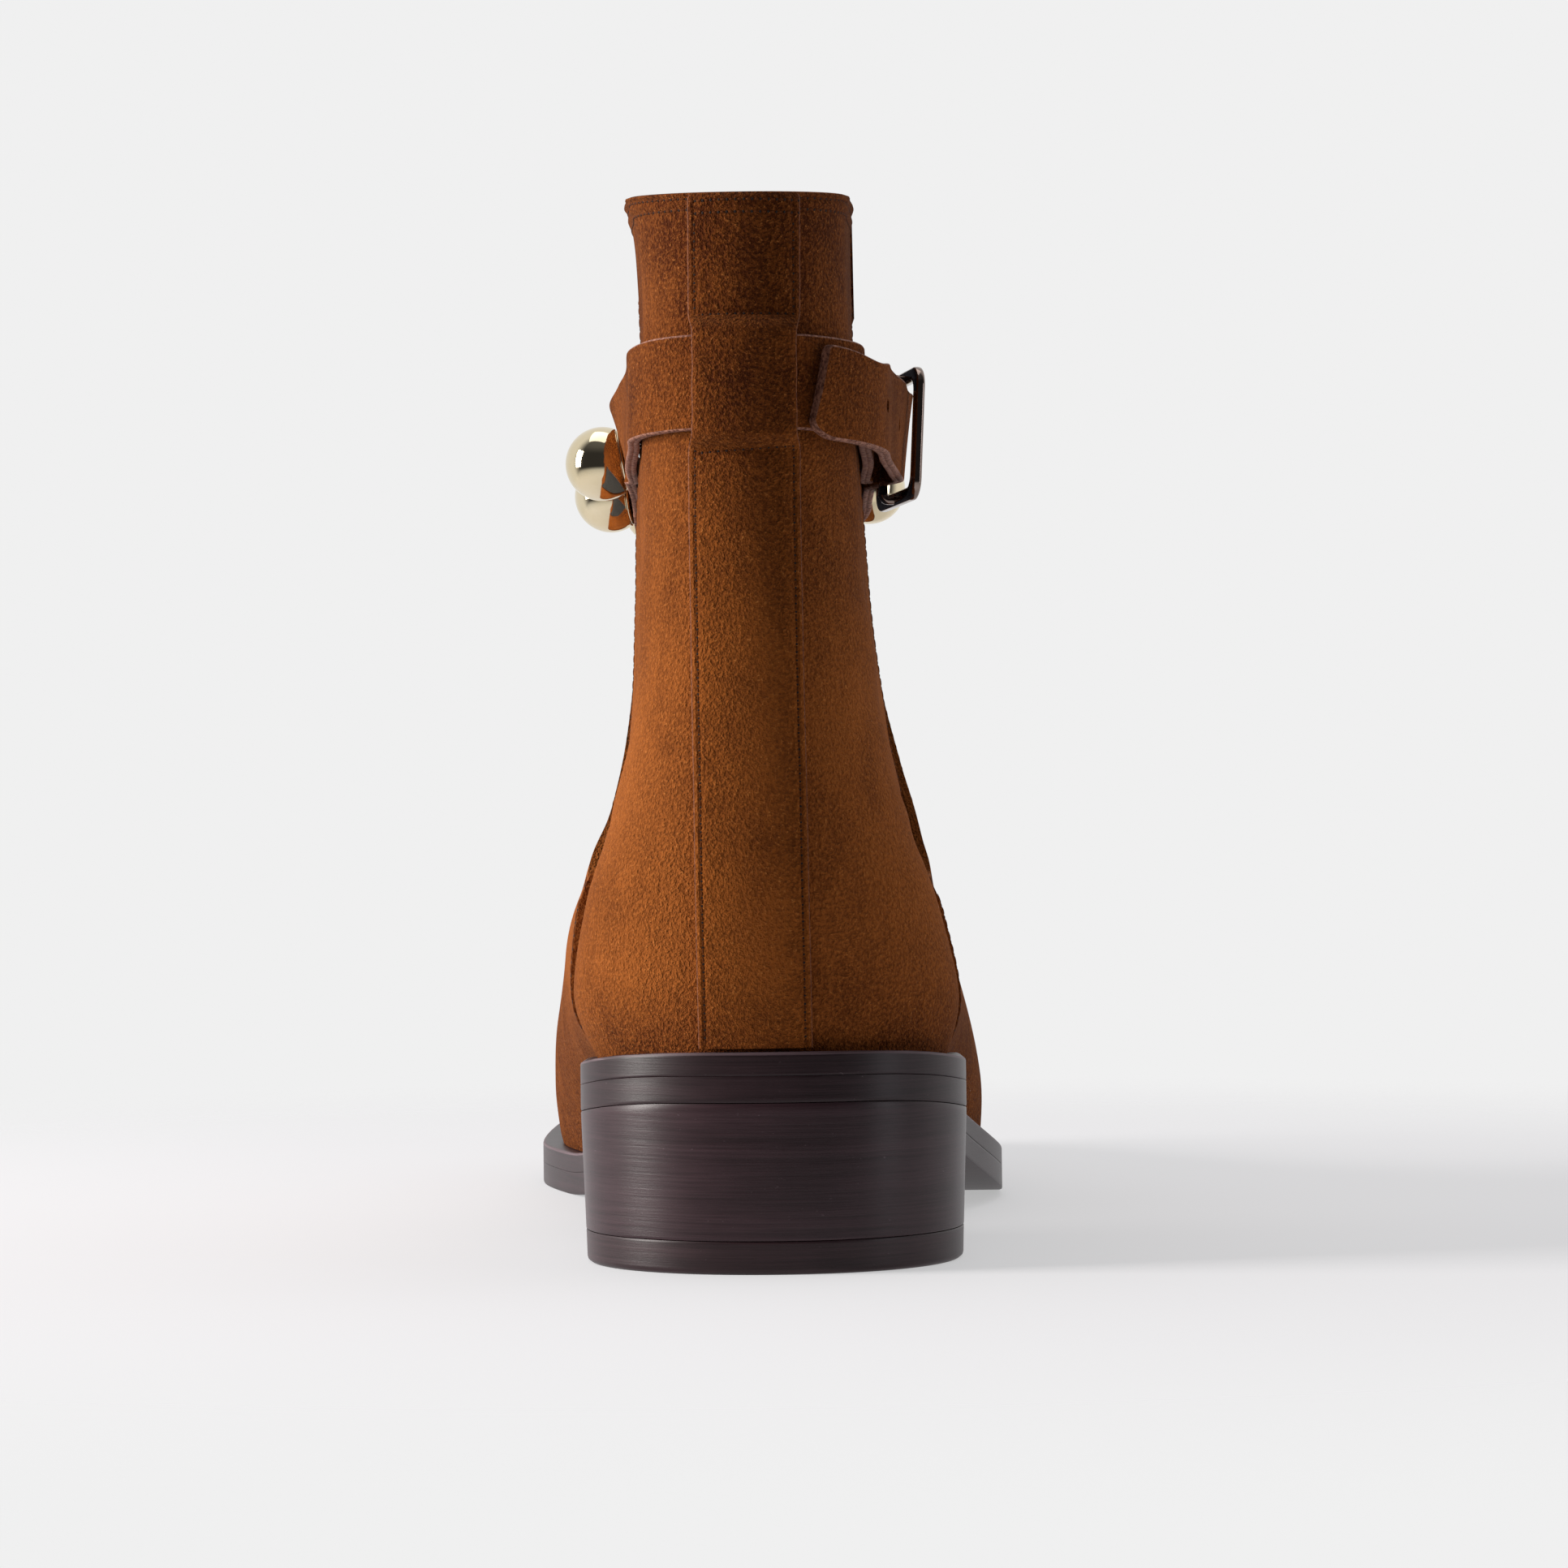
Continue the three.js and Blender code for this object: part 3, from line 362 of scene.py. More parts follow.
def mesh_of(name, points, wrap_rows, wrap_columns, caps=False):
    """A mesh through a grid of points, closed along either way, with its faces turned outward."""
    rows, columns = points.shape[:2]
    index = np.arange(rows * columns).reshape(rows, columns)
    here = index if wrap_rows else index[:-1]
    there = np.roll(index, -1, axis=0) if wrap_rows else index[1:]
    if wrap_columns:
        quads = [here, np.roll(here, -1, axis=1), np.roll(there, -1, axis=1), there]
    else:
        quads = [here[:, :-1], here[:, 1:], there[:, 1:], there[:, :-1]]
    faces = np.stack(quads, axis=-1).reshape(-1, 4).tolist()
    if caps:
        faces += [list(range(columns)), list(range((rows - 1) * columns, rows * columns))]
    mesh = bpy.data.meshes.new(name)
    mesh.from_pydata(points.reshape(-1, 3).tolist(), [], faces)
    return turned_out(name, mesh)


def turned_out(name, mesh, angle=40.0):
    builder = bmesh.new()
    builder.from_mesh(mesh)
    bmesh.ops.remove_doubles(builder, verts=builder.verts, dist=0.000005)
    bmesh.ops.recalc_face_normals(builder, faces=builder.faces)
    builder.to_mesh(mesh)
    builder.free()
    mesh.shade_smooth()
    mesh.set_sharp_from_angle(angle=math.radians(angle))
    piece = bpy.data.objects.new(name, mesh)
    bpy.context.scene.collection.objects.link(piece)
    return piece


def cut(piece, tool, operation):
    """Cuts a piece with a closed tool, or keeps what lies inside it, and throws the tool away."""
    change = piece.modifiers.new("cut", "BOOLEAN")
    change.operation = operation
    change.solver = "EXACT"
    change.object = tool
    shown = piece.evaluated_get(bpy.context.evaluated_depsgraph_get())
    made = bpy.data.meshes.new_from_object(shown)
    piece.modifiers.remove(change)
    old = piece.data
    piece.data = made
    bpy.data.meshes.remove(old)
    bpy.data.objects.remove(tool)
    piece.data.shade_smooth()
    piece.data.set_sharp_from_angle(angle=math.radians(40.0))


def clad(piece, *materials):
    piece.data.materials.clear()
    for material in materials:
        piece.data.materials.append(material)


def side_bar(outline, from_x, to_x):
    """A bar across the boot whose outline in side view is given as y and z."""
    points = np.array([[[x, y, z] for y, z in outline] for x in (from_x, to_x)])
    return mesh_of("side_bar", points, False, True, True)


def drawn_in(outline, inset):
    points = np.array(outline)
    first = points - np.roll(points, 1, axis=0)
    second = np.roll(points, -1, axis=0) - points
    first /= np.linalg.norm(first, axis=1, keepdims=True)
    second /= np.linalg.norm(second, axis=1, keepdims=True)
    inward = np.stack([-first[:, 1] - second[:, 1], first[:, 0] + second[:, 0]], axis=1)
    inward /= np.linalg.norm(inward, axis=1, keepdims=True)
    square = np.stack([-first[:, 1], first[:, 0]], axis=1)
    return points + inward * (inset / np.sum(inward * square, axis=1, keepdims=True))


def rounded(outline, radius, steps=8):
    """An outline with its corners rounded."""
    points = np.array(outline)
    made = []
    for index, corner in enumerate(points):
        before, after = points[index - 1], points[(index + 1) % len(points)]
        reach = min(radius, np.linalg.norm(before - corner) / 2.2, np.linalg.norm(after - corner) / 2.2)
        start = corner + (before - corner) / np.linalg.norm(before - corner) * reach
        end = corner + (after - corner) / np.linalg.norm(after - corner) * reach
        for step in range(steps + 1):
            t = step / steps
            made.append((1 - t) ** 2 * start + 2 * t * (1 - t) * corner + t ** 2 * end)
    return np.array(made)


gore_outline = [(y * sole_length, z * collar_height) for y, z in (
    (0.118, 0.362), (0.165, 0.362), (0.215, 0.48), (0.258, 0.66),
    (0.268, 0.93), (0.105, 0.93), (0.112, 0.66), (0.12, 0.48))]
window = rounded(gore_outline, 0.004)
seam_top = gore_outline[0]
vamp_outline = [
    (seam_top[0] - 0.012 * sole_length, -0.01), (0.4, -0.01), (0.4, 0.3), (0.18 * sole_length, 0.3),
    (0.18 * sole_length, 0.48 * collar_height), (seam_top[0] + 0.0005, seam_top[1] + 0.0005)]

back_half = np.concatenate([np.linspace(0, 6, 61)[:-1], np.linspace(6, 15, 61)[:-1], np.linspace(15, 24, 46)])
all_round = np.concatenate([back_half, 48 - back_half[-2:0:-1]])
rows_up = np.concatenate([np.linspace(0, 0.95, 150)[:-1], np.linspace(0.95, 1.0, 22)])


def quarter_outside(share, around):
    """Folds, and a rolled edge with its two stitched grooves at the collar."""
    down = (1.0 - share) * shaft_run
    roll = 0.0008 * np.exp(-((down - 0.0004) / 0.0008) ** 2)
    middle = 0.00045 * np.exp(-((down - 0.0024) / 0.0006) ** 2)
    turn = (around + 24) % 48 - 24
    inner_flare = 0.0009 * ease((turn + 12) / 4) * ease((-turn - 3) / 3) * ease(1 - down / 0.006)
    lip = -0.0007 * np.clip(1 - down / 0.0007, 0, 1) ** 2
    return folded(share, around) * ease(down / 0.01) + roll + middle + lip + inner_flare


upper = wall("quarters", rows_up, all_round,
             lambda share, around: np.full(share.shape, -0.002) + 0.0006 * (share > 0.995),
             quarter_outside)
cut(upper, side_bar(window, -clear_of_boot, clear_of_boot), "DIFFERENCE")


def suede(name, light="#925122", dark="#451D09"):
    """Brushed suede: short nap, brushed lighter and darker in patches, with a soft sheen. A painted light band by
    height: lighter low on the upper, with painted shade up the shaft and next to the welt.
    """
    material, paint = new_material(name)
    place = paint.place()
    patches = paint.noise(place, 38.0, 3.0, 0.55)
    brushed = paint.noise(paint.stretched(place, (1.0, 1.0, 0.45)), 210.0, 4.0, 0.6)
    grain = paint.noise(place, 1750.0, 2.0, 0.65)
    fibres = paint.noise(place, 2600.0, 2.0, 0.6)
    split = paint.node("ShaderNodeSeparateXYZ", {}, {0: place})
    level = Value(paint, split.socket.node.outputs[2])
    # low is painted light by height: the tone is lightest 5 to 8 cm up, with painted shade towards 16.5 cm (the
    # shaft) and down to 2.6 cm (next to the welt).
    low = level.between(0.165, 0.08) * level.between(0.026, 0.05)
    tone = patches.between(0.32, 0.68) * 0.3 + brushed.between(0.3, 0.7) * 0.2 \
        + grain.between(0.34, 0.66) * 0.44 + low * 0.56 - 0.27
    base = tone.blend(linear(dark), linear(light))
    specks = fibres.between(0.56, 0.68) * grain.between(0.45, 0.65)
    colour = (specks * 0.5).blend(base, linear("#C27B40"))
    fine = paint.bump(grain + fibres * 0.35, 0.0009, 0.9)
    soft = paint.bump(brushed, 0.0006, 0.35, fine)
    paint.surface({
        "Base Color": colour, "Roughness": 0.95, "Normal": soft, "Specular IOR Level": 0.06,
        "Sheen Weight": 0.14, "Sheen Roughness": 0.4, "Sheen Tint": linear("#E09A62")})
    return material


upper_suede = suede("tan_suede")
clad(upper, upper_suede)
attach(upper, "root")
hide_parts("upper")


def vamp_outside(share, around):
    return folded(share, around) + 0.001 + 0.0002 * ease(share / 0.03)


vamp = wall("vamp", np.linspace(0.002, 0.998, 120), all_round,
            lambda share, around: np.full(share.shape, -0.0006), vamp_outside)
cut(vamp, side_bar(vamp_outline, -clear_of_boot, clear_of_boot), "INTERSECT")
cut(vamp, side_bar(window, -clear_of_boot, clear_of_boot), "DIFFERENCE")
clad(vamp, upper_suede)
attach(vamp, "root")


# Stitching on the upper
# Waxed brown thread in rows: two round the collar, one beside each elastic panel, two along the
# vamp's edge. Between the stitches lie flat dark beads, painted shade that stands for the pinholes.
def on_side(side, y, z):
    """The place on the form that shows at y and z in side view."""
    y, z = np.asarray(y, float), np.asarray(z, float)
    low, high = np.zeros_like(z), np.ones_like(z)
    for _ in range(18):
        share = (low + high) / 2
        near, far = np.zeros_like(z), np.full_like(z, 24.0)
        for _ in range(18):
            step = (near + far) / 2
            short = outside(share, side * step)[..., 1] < y
            near, far = np.where(short, step, near), np.where(short, far, step)
        around = side * (near + far) / 2
        under = outside(share, around)[..., 2] < z
        low, high = np.where(under, share, low), np.where(under, high, share)
    return (low + high) / 2, around


def spaced(points, normals, pitch):
    """Even steps along a line of points: middles, directions and normals."""
    lengths = np.linalg.norm(np.diff(points, axis=0), axis=1)
    total = np.concatenate([[0.0], np.cumsum(lengths)])
    count = max(int(round(total[-1] / pitch)), 1)
    at = (np.arange(count) + 0.5) * total[-1] / count
    where = np.stack([np.interp(at, total, points[:, k]) for k in range(3)], axis=1)
    out = np.stack([np.interp(at, total, normals[:, k]) for k in range(3)], axis=1)
    nudge = pitch * 0.2
    ahead = np.stack([np.interp(at + nudge, total, points[:, k]) for k in range(3)], axis=1)
    behind = np.stack([np.interp(at - nudge, total, points[:, k]) for k in range(3)], axis=1)
    holes = np.stack([np.interp(at + total[-1] / count / 2, total, points[:, k]) for k in range(3)], axis=1)
    return where, ahead - behind, out, holes


class Nodes:
    """A Geometry Nodes tree and the one method that adds a node to it."""

    def __init__(self, name):
        self.tree = bpy.data.node_groups.new(name, "GeometryNodeTree")
        self.tree.interface.new_socket("Geometry", in_out="OUTPUT", socket_type="NodeSocketGeometry")

    def socket(self, name, kind):
        return self.tree.interface.new_socket(name, in_out="INPUT", socket_type=kind).identifier

    def node(self, kind, settings=None, inputs=None, output=0):
        made = self.tree.nodes.new(kind)
        for key, setting in (settings or {}).items():
            setattr(made, key, setting)
        for key, given in (inputs or {}).items():
            if isinstance(given, bpy.types.NodeSocket):
                self.tree.links.new(given, made.inputs[key])
            else:
                made.inputs[key].default_value = given
        return made.outputs[output] if made.outputs else made


stitcher = Nodes("stitch_row")
keys = {name: stitcher.socket(name, kind) for name, kind in (
    ("Places", "NodeSocketGeometry"), ("Length", "NodeSocketFloat"), ("Thickness", "NodeSocketFloat"),
    ("Height", "NodeSocketFloat"), ("Thread", "NodeSocketMaterial"), ("Seed", "NodeSocketInt"))}
given = stitcher.tree.nodes.new("NodeGroupInput").outputs
bead = stitcher.node("GeometryNodeMeshUVSphere", {}, {"Segments": 7, "Rings": 5, "Radius": 0.5})
along = stitcher.node("GeometryNodeInputNamedAttribute", {"data_type": "FLOAT_VECTOR"}, {0: "along"})
outs = stitcher.node("GeometryNodeInputNamedAttribute", {"data_type": "FLOAT_VECTOR"}, {0: "out"})
lain = stitcher.node("FunctionNodeAlignRotationToVector", {"axis": "X"}, {"Vector": along})
stood = stitcher.node("FunctionNodeAlignRotationToVector", {"axis": "Z", "pivot_axis": "X"},
                      {"Rotation": lain, "Vector": outs})
vary = stitcher.node("FunctionNodeRandomValue", {"data_type": "FLOAT"},
                     {2: 0.86, 3: 1.1, "Seed": given["Seed"]}, 1)
long_side = stitcher.node("ShaderNodeMath", {"operation": "MULTIPLY"}, {0: given["Length"], 1: vary})
size = stitcher.node("ShaderNodeCombineXYZ", {},
                     {0: long_side, 1: given["Thickness"], 2: given["Height"]})
laid = stitcher.node("GeometryNodeInstanceOnPoints", {},
                     {"Points": given["Places"], "Instance": bead, "Rotation": stood, "Scale": size})
real = stitcher.node("GeometryNodeRealizeInstances", {}, {0: laid})
threaded = stitcher.node("GeometryNodeSetMaterial", {}, {"Geometry": real, "Material": given["Thread"]})
stitcher.tree.links.new(threaded, stitcher.tree.nodes.new("NodeGroupOutput").inputs[0])


def beads(name, places, along, out, length, thickness, height, material, seed):
    mesh = bpy.data.meshes.new(name)
    mesh.from_pydata(places.tolist(), [], [])
    for key, values in (("along", along), ("out", out)):
        layer = mesh.attributes.new(key, "FLOAT_VECTOR", "POINT")
        layer.data.foreach_set("vector", np.ascontiguousarray(values, dtype=np.float32).ravel())
    carrier = bpy.data.objects.new(name + "_places", mesh)
    bpy.context.scene.collection.objects.link(carrier)
    change = carrier.modifiers.new("rows", "NODES")
    change.node_group = stitcher.tree
    change[keys["Length"]] = length
    change[keys["Thickness"]] = thickness
    change[keys["Height"]] = height
    change[keys["Thread"]] = material
    change[keys["Seed"]] = seed
    shown = carrier.evaluated_get(bpy.context.evaluated_depsgraph_get())
    made = bpy.data.meshes.new_from_object(shown)
    made.shade_smooth()
    carrier.modifiers.remove(change)
    bpy.data.objects.remove(carrier)
    piece = bpy.data.objects.new(name, made)
    bpy.context.scene.collection.objects.link(piece)
    return piece


def thread_material(name, colour):
    material, paint = new_material(name)
    place = paint.place()
    ply = paint.noise(place, 3200.0, 2.0, 0.5)
    tone = ply.blend(linear(colour), linear("#6A3818"))
    bumped = paint.bump(ply, 0.0001, 0.5)
    paint.surface({
        "Base Color": tone, "Roughness": 0.9, "Normal": bumped, "Specular IOR Level": 0.08})
    return material


brown_thread = thread_material("brown_thread", "#42200F")
# Pinholes: a near-black material for flat beads between the stitches, painted shade standing for the holes.
pinhole_shade, paint = new_material("pinhole_shade")
hole_place = paint.place()
hole_shade_tone = paint.noise(hole_place, 900.0).blend(linear("#160A05"), linear("#2A140A"))
paint.surface({"Base Color": hole_shade_tone, "Roughness": 1.0})


def stitched(name, lines, pitch, seed, length=0.82, thickness=0.00045, sink=0.0):
    """Thread, and flat dark beads painted as the shade in the pinholes, along lines given as points with normals,
    joined into one piece.
    """
    rows = [spaced(points, normals, pitch) for points, normals in lines]
    where, along, out, holes = (np.concatenate(parts) for parts in zip(*rows))
    level = out * sink
    thread = beads(name, where + level, along, out, pitch * length, thickness, thickness * 0.8,
                   brown_thread, seed)
    hole_shade_beads = beads(name + "_holes", holes + level, along, out, pitch * 0.34, thickness * 1.25,
                 thickness * 0.5, pinhole_shade, seed)
    with bpy.context.temp_override(active_object=thread, selected_editable_objects=[thread, hole_shade_beads]):
        bpy.ops.object.join()
    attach(thread, "root")
    return thread


def line_on(share, around, outer):
    rise = outer(share, around)
    return off(share, around, rise), outward(share, around)


collar_rows = []
for drop in (0.0014, 0.0033):
    turns = np.linspace(0.0, 48.0, 400)
    collar_rows.append(line_on(np.full(400, 1 - drop / shaft_run), turns, quarter_outside))
stitched("collar_stitches", collar_rows, 0.0016, 3, sink=-0.00002)

beside = drawn_in(window, -0.0018)
closed = np.concatenate([beside, beside[:1]])
seam_rows = []
for side in (1, -1):
    steps = np.linspace(0, len(closed) - 1, 420)
    y = np.interp(steps, np.arange(len(closed)), closed[:, 0])
    z = np.interp(steps, np.arange(len(closed)), closed[:, 1])
    share, around = on_side(side, y, z)
    on_vamp = (y > 0.18 * sole_length) | (z < seam_top[1])
    rise = np.where(on_vamp, vamp_outside(share, around), quarter_outside(share, around))
    points, normals = off(share, around, rise), outward(share, around)
    changes = np.flatnonzero(np.diff(on_vamp)) + 1
    for row, out in zip(np.split(points, changes), np.split(normals, changes)):
        if len(row) > 12:
            seam_rows.append((row[3:-3], out[3:-3]))
    for inset in (0.0018, 0.0038):
        z = np.linspace(seam_top[1] - 0.0035, 0.014, 160)
        y = np.interp(z, [-0.01, seam_top[1]], [seam_top[0] - 0.012 * sole_length, seam_top[0]]) + inset
        shown = z > sole_top(y) + 0.003
        share, around = on_side(side, y[shown], z[shown])
        seam_rows.append(line_on(share, around, vamp_outside))
stitched("seam_stitches", seam_rows, 0.0022, 5)


# Elastic side panels
# Woven elastic, dark grey-blue, with ribs that run up the leg. It lies behind the window in the
# quarters and is held by the stitching round it.
def elastic(name):
    material, paint = new_material(name)
    place = paint.place()
    weave = paint.node("ShaderNodeTexWave", {"wave_type": "BANDS", "bands_direction": "Z"},
                       {"Vector": place, "Scale": 520.0, "Distortion": 0.6, "Detail": 1.0})
    fluff = paint.noise(place, 2400.0, 2.0, 0.6)
    tone = (weave * 0.5 + fluff * 0.5).blend(linear("#191A20"), linear("#363843"))
    paint.surface({
        "Base Color": tone, "Roughness": 0.85, "Normal": paint.bump(weave + fluff * 0.5, 0.0002, 0.6),
        "Sheen Weight": 0.2, "Sheen Roughness": 0.4, "Specular IOR Level": 0.2})
    return material


grey_elastic = elastic("grey_elastic")
gores = []
for side, node in ((1, "gore_outer"), (-1, "gore_inner")):
    shares, arounds = np.linspace(0.24, 0.985, 60), np.linspace(7.0, 15.8, 460) * side
    grid_share, grid_around = np.meshgrid(shares, arounds)
    ribs = np.abs(np.sin(np.pi * outside(grid_share, grid_around)[..., 1] / 0.0013))
    face = off(grid_share, grid_around, folded(grid_share, grid_around) * 0.6 - 0.00095 + 0.0003 * ribs)
    hidden_share, hidden_around = np.meshgrid(shares[::-1][::4], arounds)
    hidden = off(hidden_share, hidden_around, np.full(hidden_share.shape, -0.0018))
    gore = mesh_of("elastic_" + node[5:], np.concatenate([face, hidden], axis=1), False, True, True)
    edges = (-0.0053, clear_of_boot) if side > 0 else (-clear_of_boot, -0.0053)
    cut(gore, side_bar(drawn_in(window, 0.0001), *edges), "INTERSECT")
    clad(gore, grey_elastic)
    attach(gore, "root")
    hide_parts(node)


# Back strip
# A long strip of the same suede with lightly coloured cut edges, stitched down both sides over the
# quarters' back seam. Where the ankle strap passes it is left loose, between two cross rows.
strip_width = 0.018
strip_thickness = 0.0013
strap_width = 0.0152
strap_thickness = 0.002
strap_level = 0.826 * collar_height
low_cross, high_cross = 0.1300, 0.1514


def around_at(z, x, level=0.0):
    low, high = np.full(np.shape(x), -6.0), np.full(np.shape(x), 6.0)
    for _ in range(15):
        middle = (low + high) / 2
        short = outside(share_at(middle, z), middle)[..., 0] < x
        low, high = np.where(short, middle, low), np.where(short, high, middle)
    around = (low + high) / 2
    if np.any(level):
        away = outward(share_at(around, z), around)[..., 0] * level
        return around_at(z, x - away)
    return around


def strip_stand(z):
    away = np.abs(z - strap_level) - strap_width / 2 - 0.0006
    return mix(0.0027, 0.0003, ease(away / 0.003))


def strip_outside(across, z):
    """Height of the strip's face over the form: across runs from -1 to 1."""
    from_edge = (1 - np.abs(across)) * strip_width / 2
    level = strip_stand(z) + strip_thickness
    level = level - 0.00035 * np.exp(-(from_edge / 0.00035) ** 2)
    sewn = 1 - ease((z - low_cross) / 0.0008) * ease((high_cross - z) / 0.0008)
    rows = np.exp(-((from_edge - 0.0011) / 0.00035) ** 2) * sewn
    for cross in (low_cross, high_cross):
        rows = np.maximum(rows, np.exp(-((z - cross) / 0.00042) ** 2) * ease((from_edge - 0.0007) / 0.0005))
    full = ease((z - low_cross) / 0.004) * ease((high_cross - z) / 0.004)
    puff = 0.0004 * full + 0.00012 * (1 - rows)
    ripple = 0.00012 * np.sin(z * 900 + across * 2.0) * ease((0.0032 - from_edge) / 0.002)
    return level + puff + ripple - 0.00012 * rows


heights = np.linspace(float(sole_top(-0.0296)) + 0.0006, collar_height - 0.0002, 420)
steps_across = np.concatenate([[-1.0, -0.985], np.linspace(-0.96, 0.96, 65), [0.985, 1.0]])
middle_x = outside(share_at(0.0, heights), 0.0)[..., 0]
grid_z, grid_c = np.meshgrid(heights, steps_across, indexing="ij")
strip_level = strip_outside(grid_c, grid_z)
grid_around = around_at(grid_z, middle_x[:, None] + grid_c * strip_width / 2, strip_level)
grid_share = share_at(grid_around, grid_z)
bend = folded(grid_share, grid_around)
top_roll = 1.0 - ease((grid_z - collar_height + 0.0012) / 0.0012) * 0.35
face = off(grid_share, grid_around, strip_level * top_roll + bend)
under = off(grid_share, grid_around, strip_stand(grid_z) + bend)[:, ::-1]
back_strip = mesh_of("back_strip_suede", np.concatenate([face, under], axis=1), False, True, True)


def raw_edge(name, colour):
    """Cut suede edge: pale fibres over a darker core."""
    material, paint = new_material(name)
    place = paint.place()
    fibres = paint.noise(place, 1500.0, 3.0, 0.7)
    tone = fibres.between(0.3, 0.7).blend(linear("#4A2419"), linear(colour))
    paint.surface({
        "Base Color": tone, "Roughness": 0.75, "Normal": paint.bump(fibres, 0.0003, 0.7),
        "Specular IOR Level": 0.25})
    return material


strip_edge = raw_edge("strip_edge", "#8A5230")
clad(back_strip, suede("strip_suede", "#8B4C1D", "#421C08"), strip_edge)


def paint_edges(piece, face_columns, columns, slot=1):
    """Gives the side faces of a lofted piece the edge's material."""
    count = len(piece.data.polygons)
    chosen = np.zeros(count, dtype=np.int32)
    wanted = np.isin(np.arange(count) % columns, face_columns)
    chosen[wanted] = slot
    piece.data.polygons.foreach_set("material_index", chosen)


width_steps = len(steps_across)
paint_edges(back_strip, [0, width_steps - 2, width_steps - 1, 2 * width_steps - 1], 2 * width_steps)
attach(back_strip, "root")
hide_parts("back_strip")


def on_strip(across, z):
    x = outside(share_at(0.0, z), 0.0)[..., 0] + across * strip_width / 2
    around = around_at(z, x, strip_outside(across, z))
    share = share_at(around, z)
    return off(share, around, strip_outside(across, z) + folded(share, around)), outward(share, around)


strip_rows = []
inner_edge = 1 - 0.0011 / (strip_width / 2)
for across in (-inner_edge, inner_edge):
    for low, high in ((heights[0] + 0.0005, low_cross), (high_cross, collar_height - 0.005)):
        z = np.linspace(low, high, 200)
        strip_rows.append(on_strip(np.full(200, across), z))
for cross, lean in ((low_cross, 0.0006), (high_cross, 0.0)):
    across = np.linspace(-inner_edge, inner_edge, 60)
    strip_rows.append(on_strip(across, cross + lean * across))
for drop in (0.0014, 0.0033):
    across = np.linspace(-0.97, 0.97, 60)
    strip_rows.append(on_strip(across, np.full(60, collar_height - drop)))
stitched("strip_stitches", strip_rows, 0.0013, 7, length=0.6, thickness=0.0004)


# Ankle strap
# Two layers of suede bonded back to back, with raw pinkish edges and a dark line between the layers.
# It runs from under the buckle round the back, the inner side and the front, and its free end passes
# through the buckle and lies over its own start.
buckle_length = 0.026
buckle_height = 0.023
buckle_bar = 0.0024
buckle_thickness = 0.0018
bar_place = -1.515
bar_level = 0.801 * collar_height
reach = np.array([0.01, -0.01]) + bar_place
ahead, behind = outside(share_at(reach * 24, bar_level), reach * 24)
per_length = 0.02 / np.linalg.norm(ahead - behind)


def beside_bar(share):
    return bar_place + share * buckle_length * per_length


# Rows: place in half turns from the back, level, how far it stands off and how much it leans out
route = np.array([
    (2 + beside_bar(0.036), 0.803, 0.55, 0.8), (0.40, 0.812, 0.5, 0.5), (0.30, 0.818, 0.3, 0.0),
    (0.16, 0.824, 0.2, 0.0), (0.00, 0.826, 0.2, 0.0), (-0.16, 0.825, 0.2, 0.0),
    (-0.30, 0.820, 0.3, 0.2), (-0.42, 0.809, 0.6, 0.8), (-0.52, 0.803, 1.45, 2.2),
    (-0.60, 0.790, 1.3, 2.2), (-0.72, 0.756, 1.1, 1.6), (-0.86, 0.748, 1.0, 1.0),
    (-1.00, 0.745, 0.9, 0.6), (-1.12, 0.752, 0.9, 0.3), (-1.24, 0.767, 0.9, 0.2),
    (-1.36, 0.786, 0.95, 0.2), (beside_bar(0.54), 0.796, 1.05, 0.9),
    (beside_bar(0.34), 0.799, 1.1, 1.2), (beside_bar(0.18), 0.801, 2.4, 1.0),
    (beside_bar(0.0), 0.801, 3.6, 1.2), (beside_bar(-0.18), 0.801, 3.5, 1.1),
    (beside_bar(-0.61), 0.801, 3.0, 1.1), (-1.68, 0.802, 2.6, 0.8), (-1.76, 0.808, 2.0, 0.5),
    (-1.915, 0.817, 1.5, 0.3)])


def route_at(around):
    places = route[:, 0]
    index = np.clip(len(places) - np.searchsorted(places[::-1], around, side="left"), 1, len(places) - 1)
    start, end = route[index - 1], route[index]
    before, after = route[np.maximum(index - 2, 0)], route[np.minimum(index + 1, len(places) - 1)]
    span = (end[..., :1] - start[..., :1])
    t = np.clip((np.asarray(around)[..., None] - start[..., :1]) / span, 0.0, 1.0)
    lean = span * (end - before) / (end[..., :1] - before[..., :1])
    bend_out = span * (after - start) / (after[..., :1] - start[..., :1])
    row = curve(start, end, lean, bend_out, t)
    return row[..., 1] * collar_height, row[..., 2] * strap_thickness, row[..., 3] * strap_thickness


def on_strap(around, across, above):
    around, across, above = np.broadcast_arrays(*(np.asarray(v, float) for v in (around, across, above)))
    z, lift, lean = route_at(around)
    place = around * 24
    share = share_at(place, z + across * strap_width / 2)
    forward = outside(share, place)[..., 1] - 0.18 * sole_length + 2 * strap_thickness
    least = 0.0003 + 0.0013 * ease(forward / strap_thickness)
    stand = np.maximum(lift + lean * across / 2, least)
    return off(share, place, stand + above)


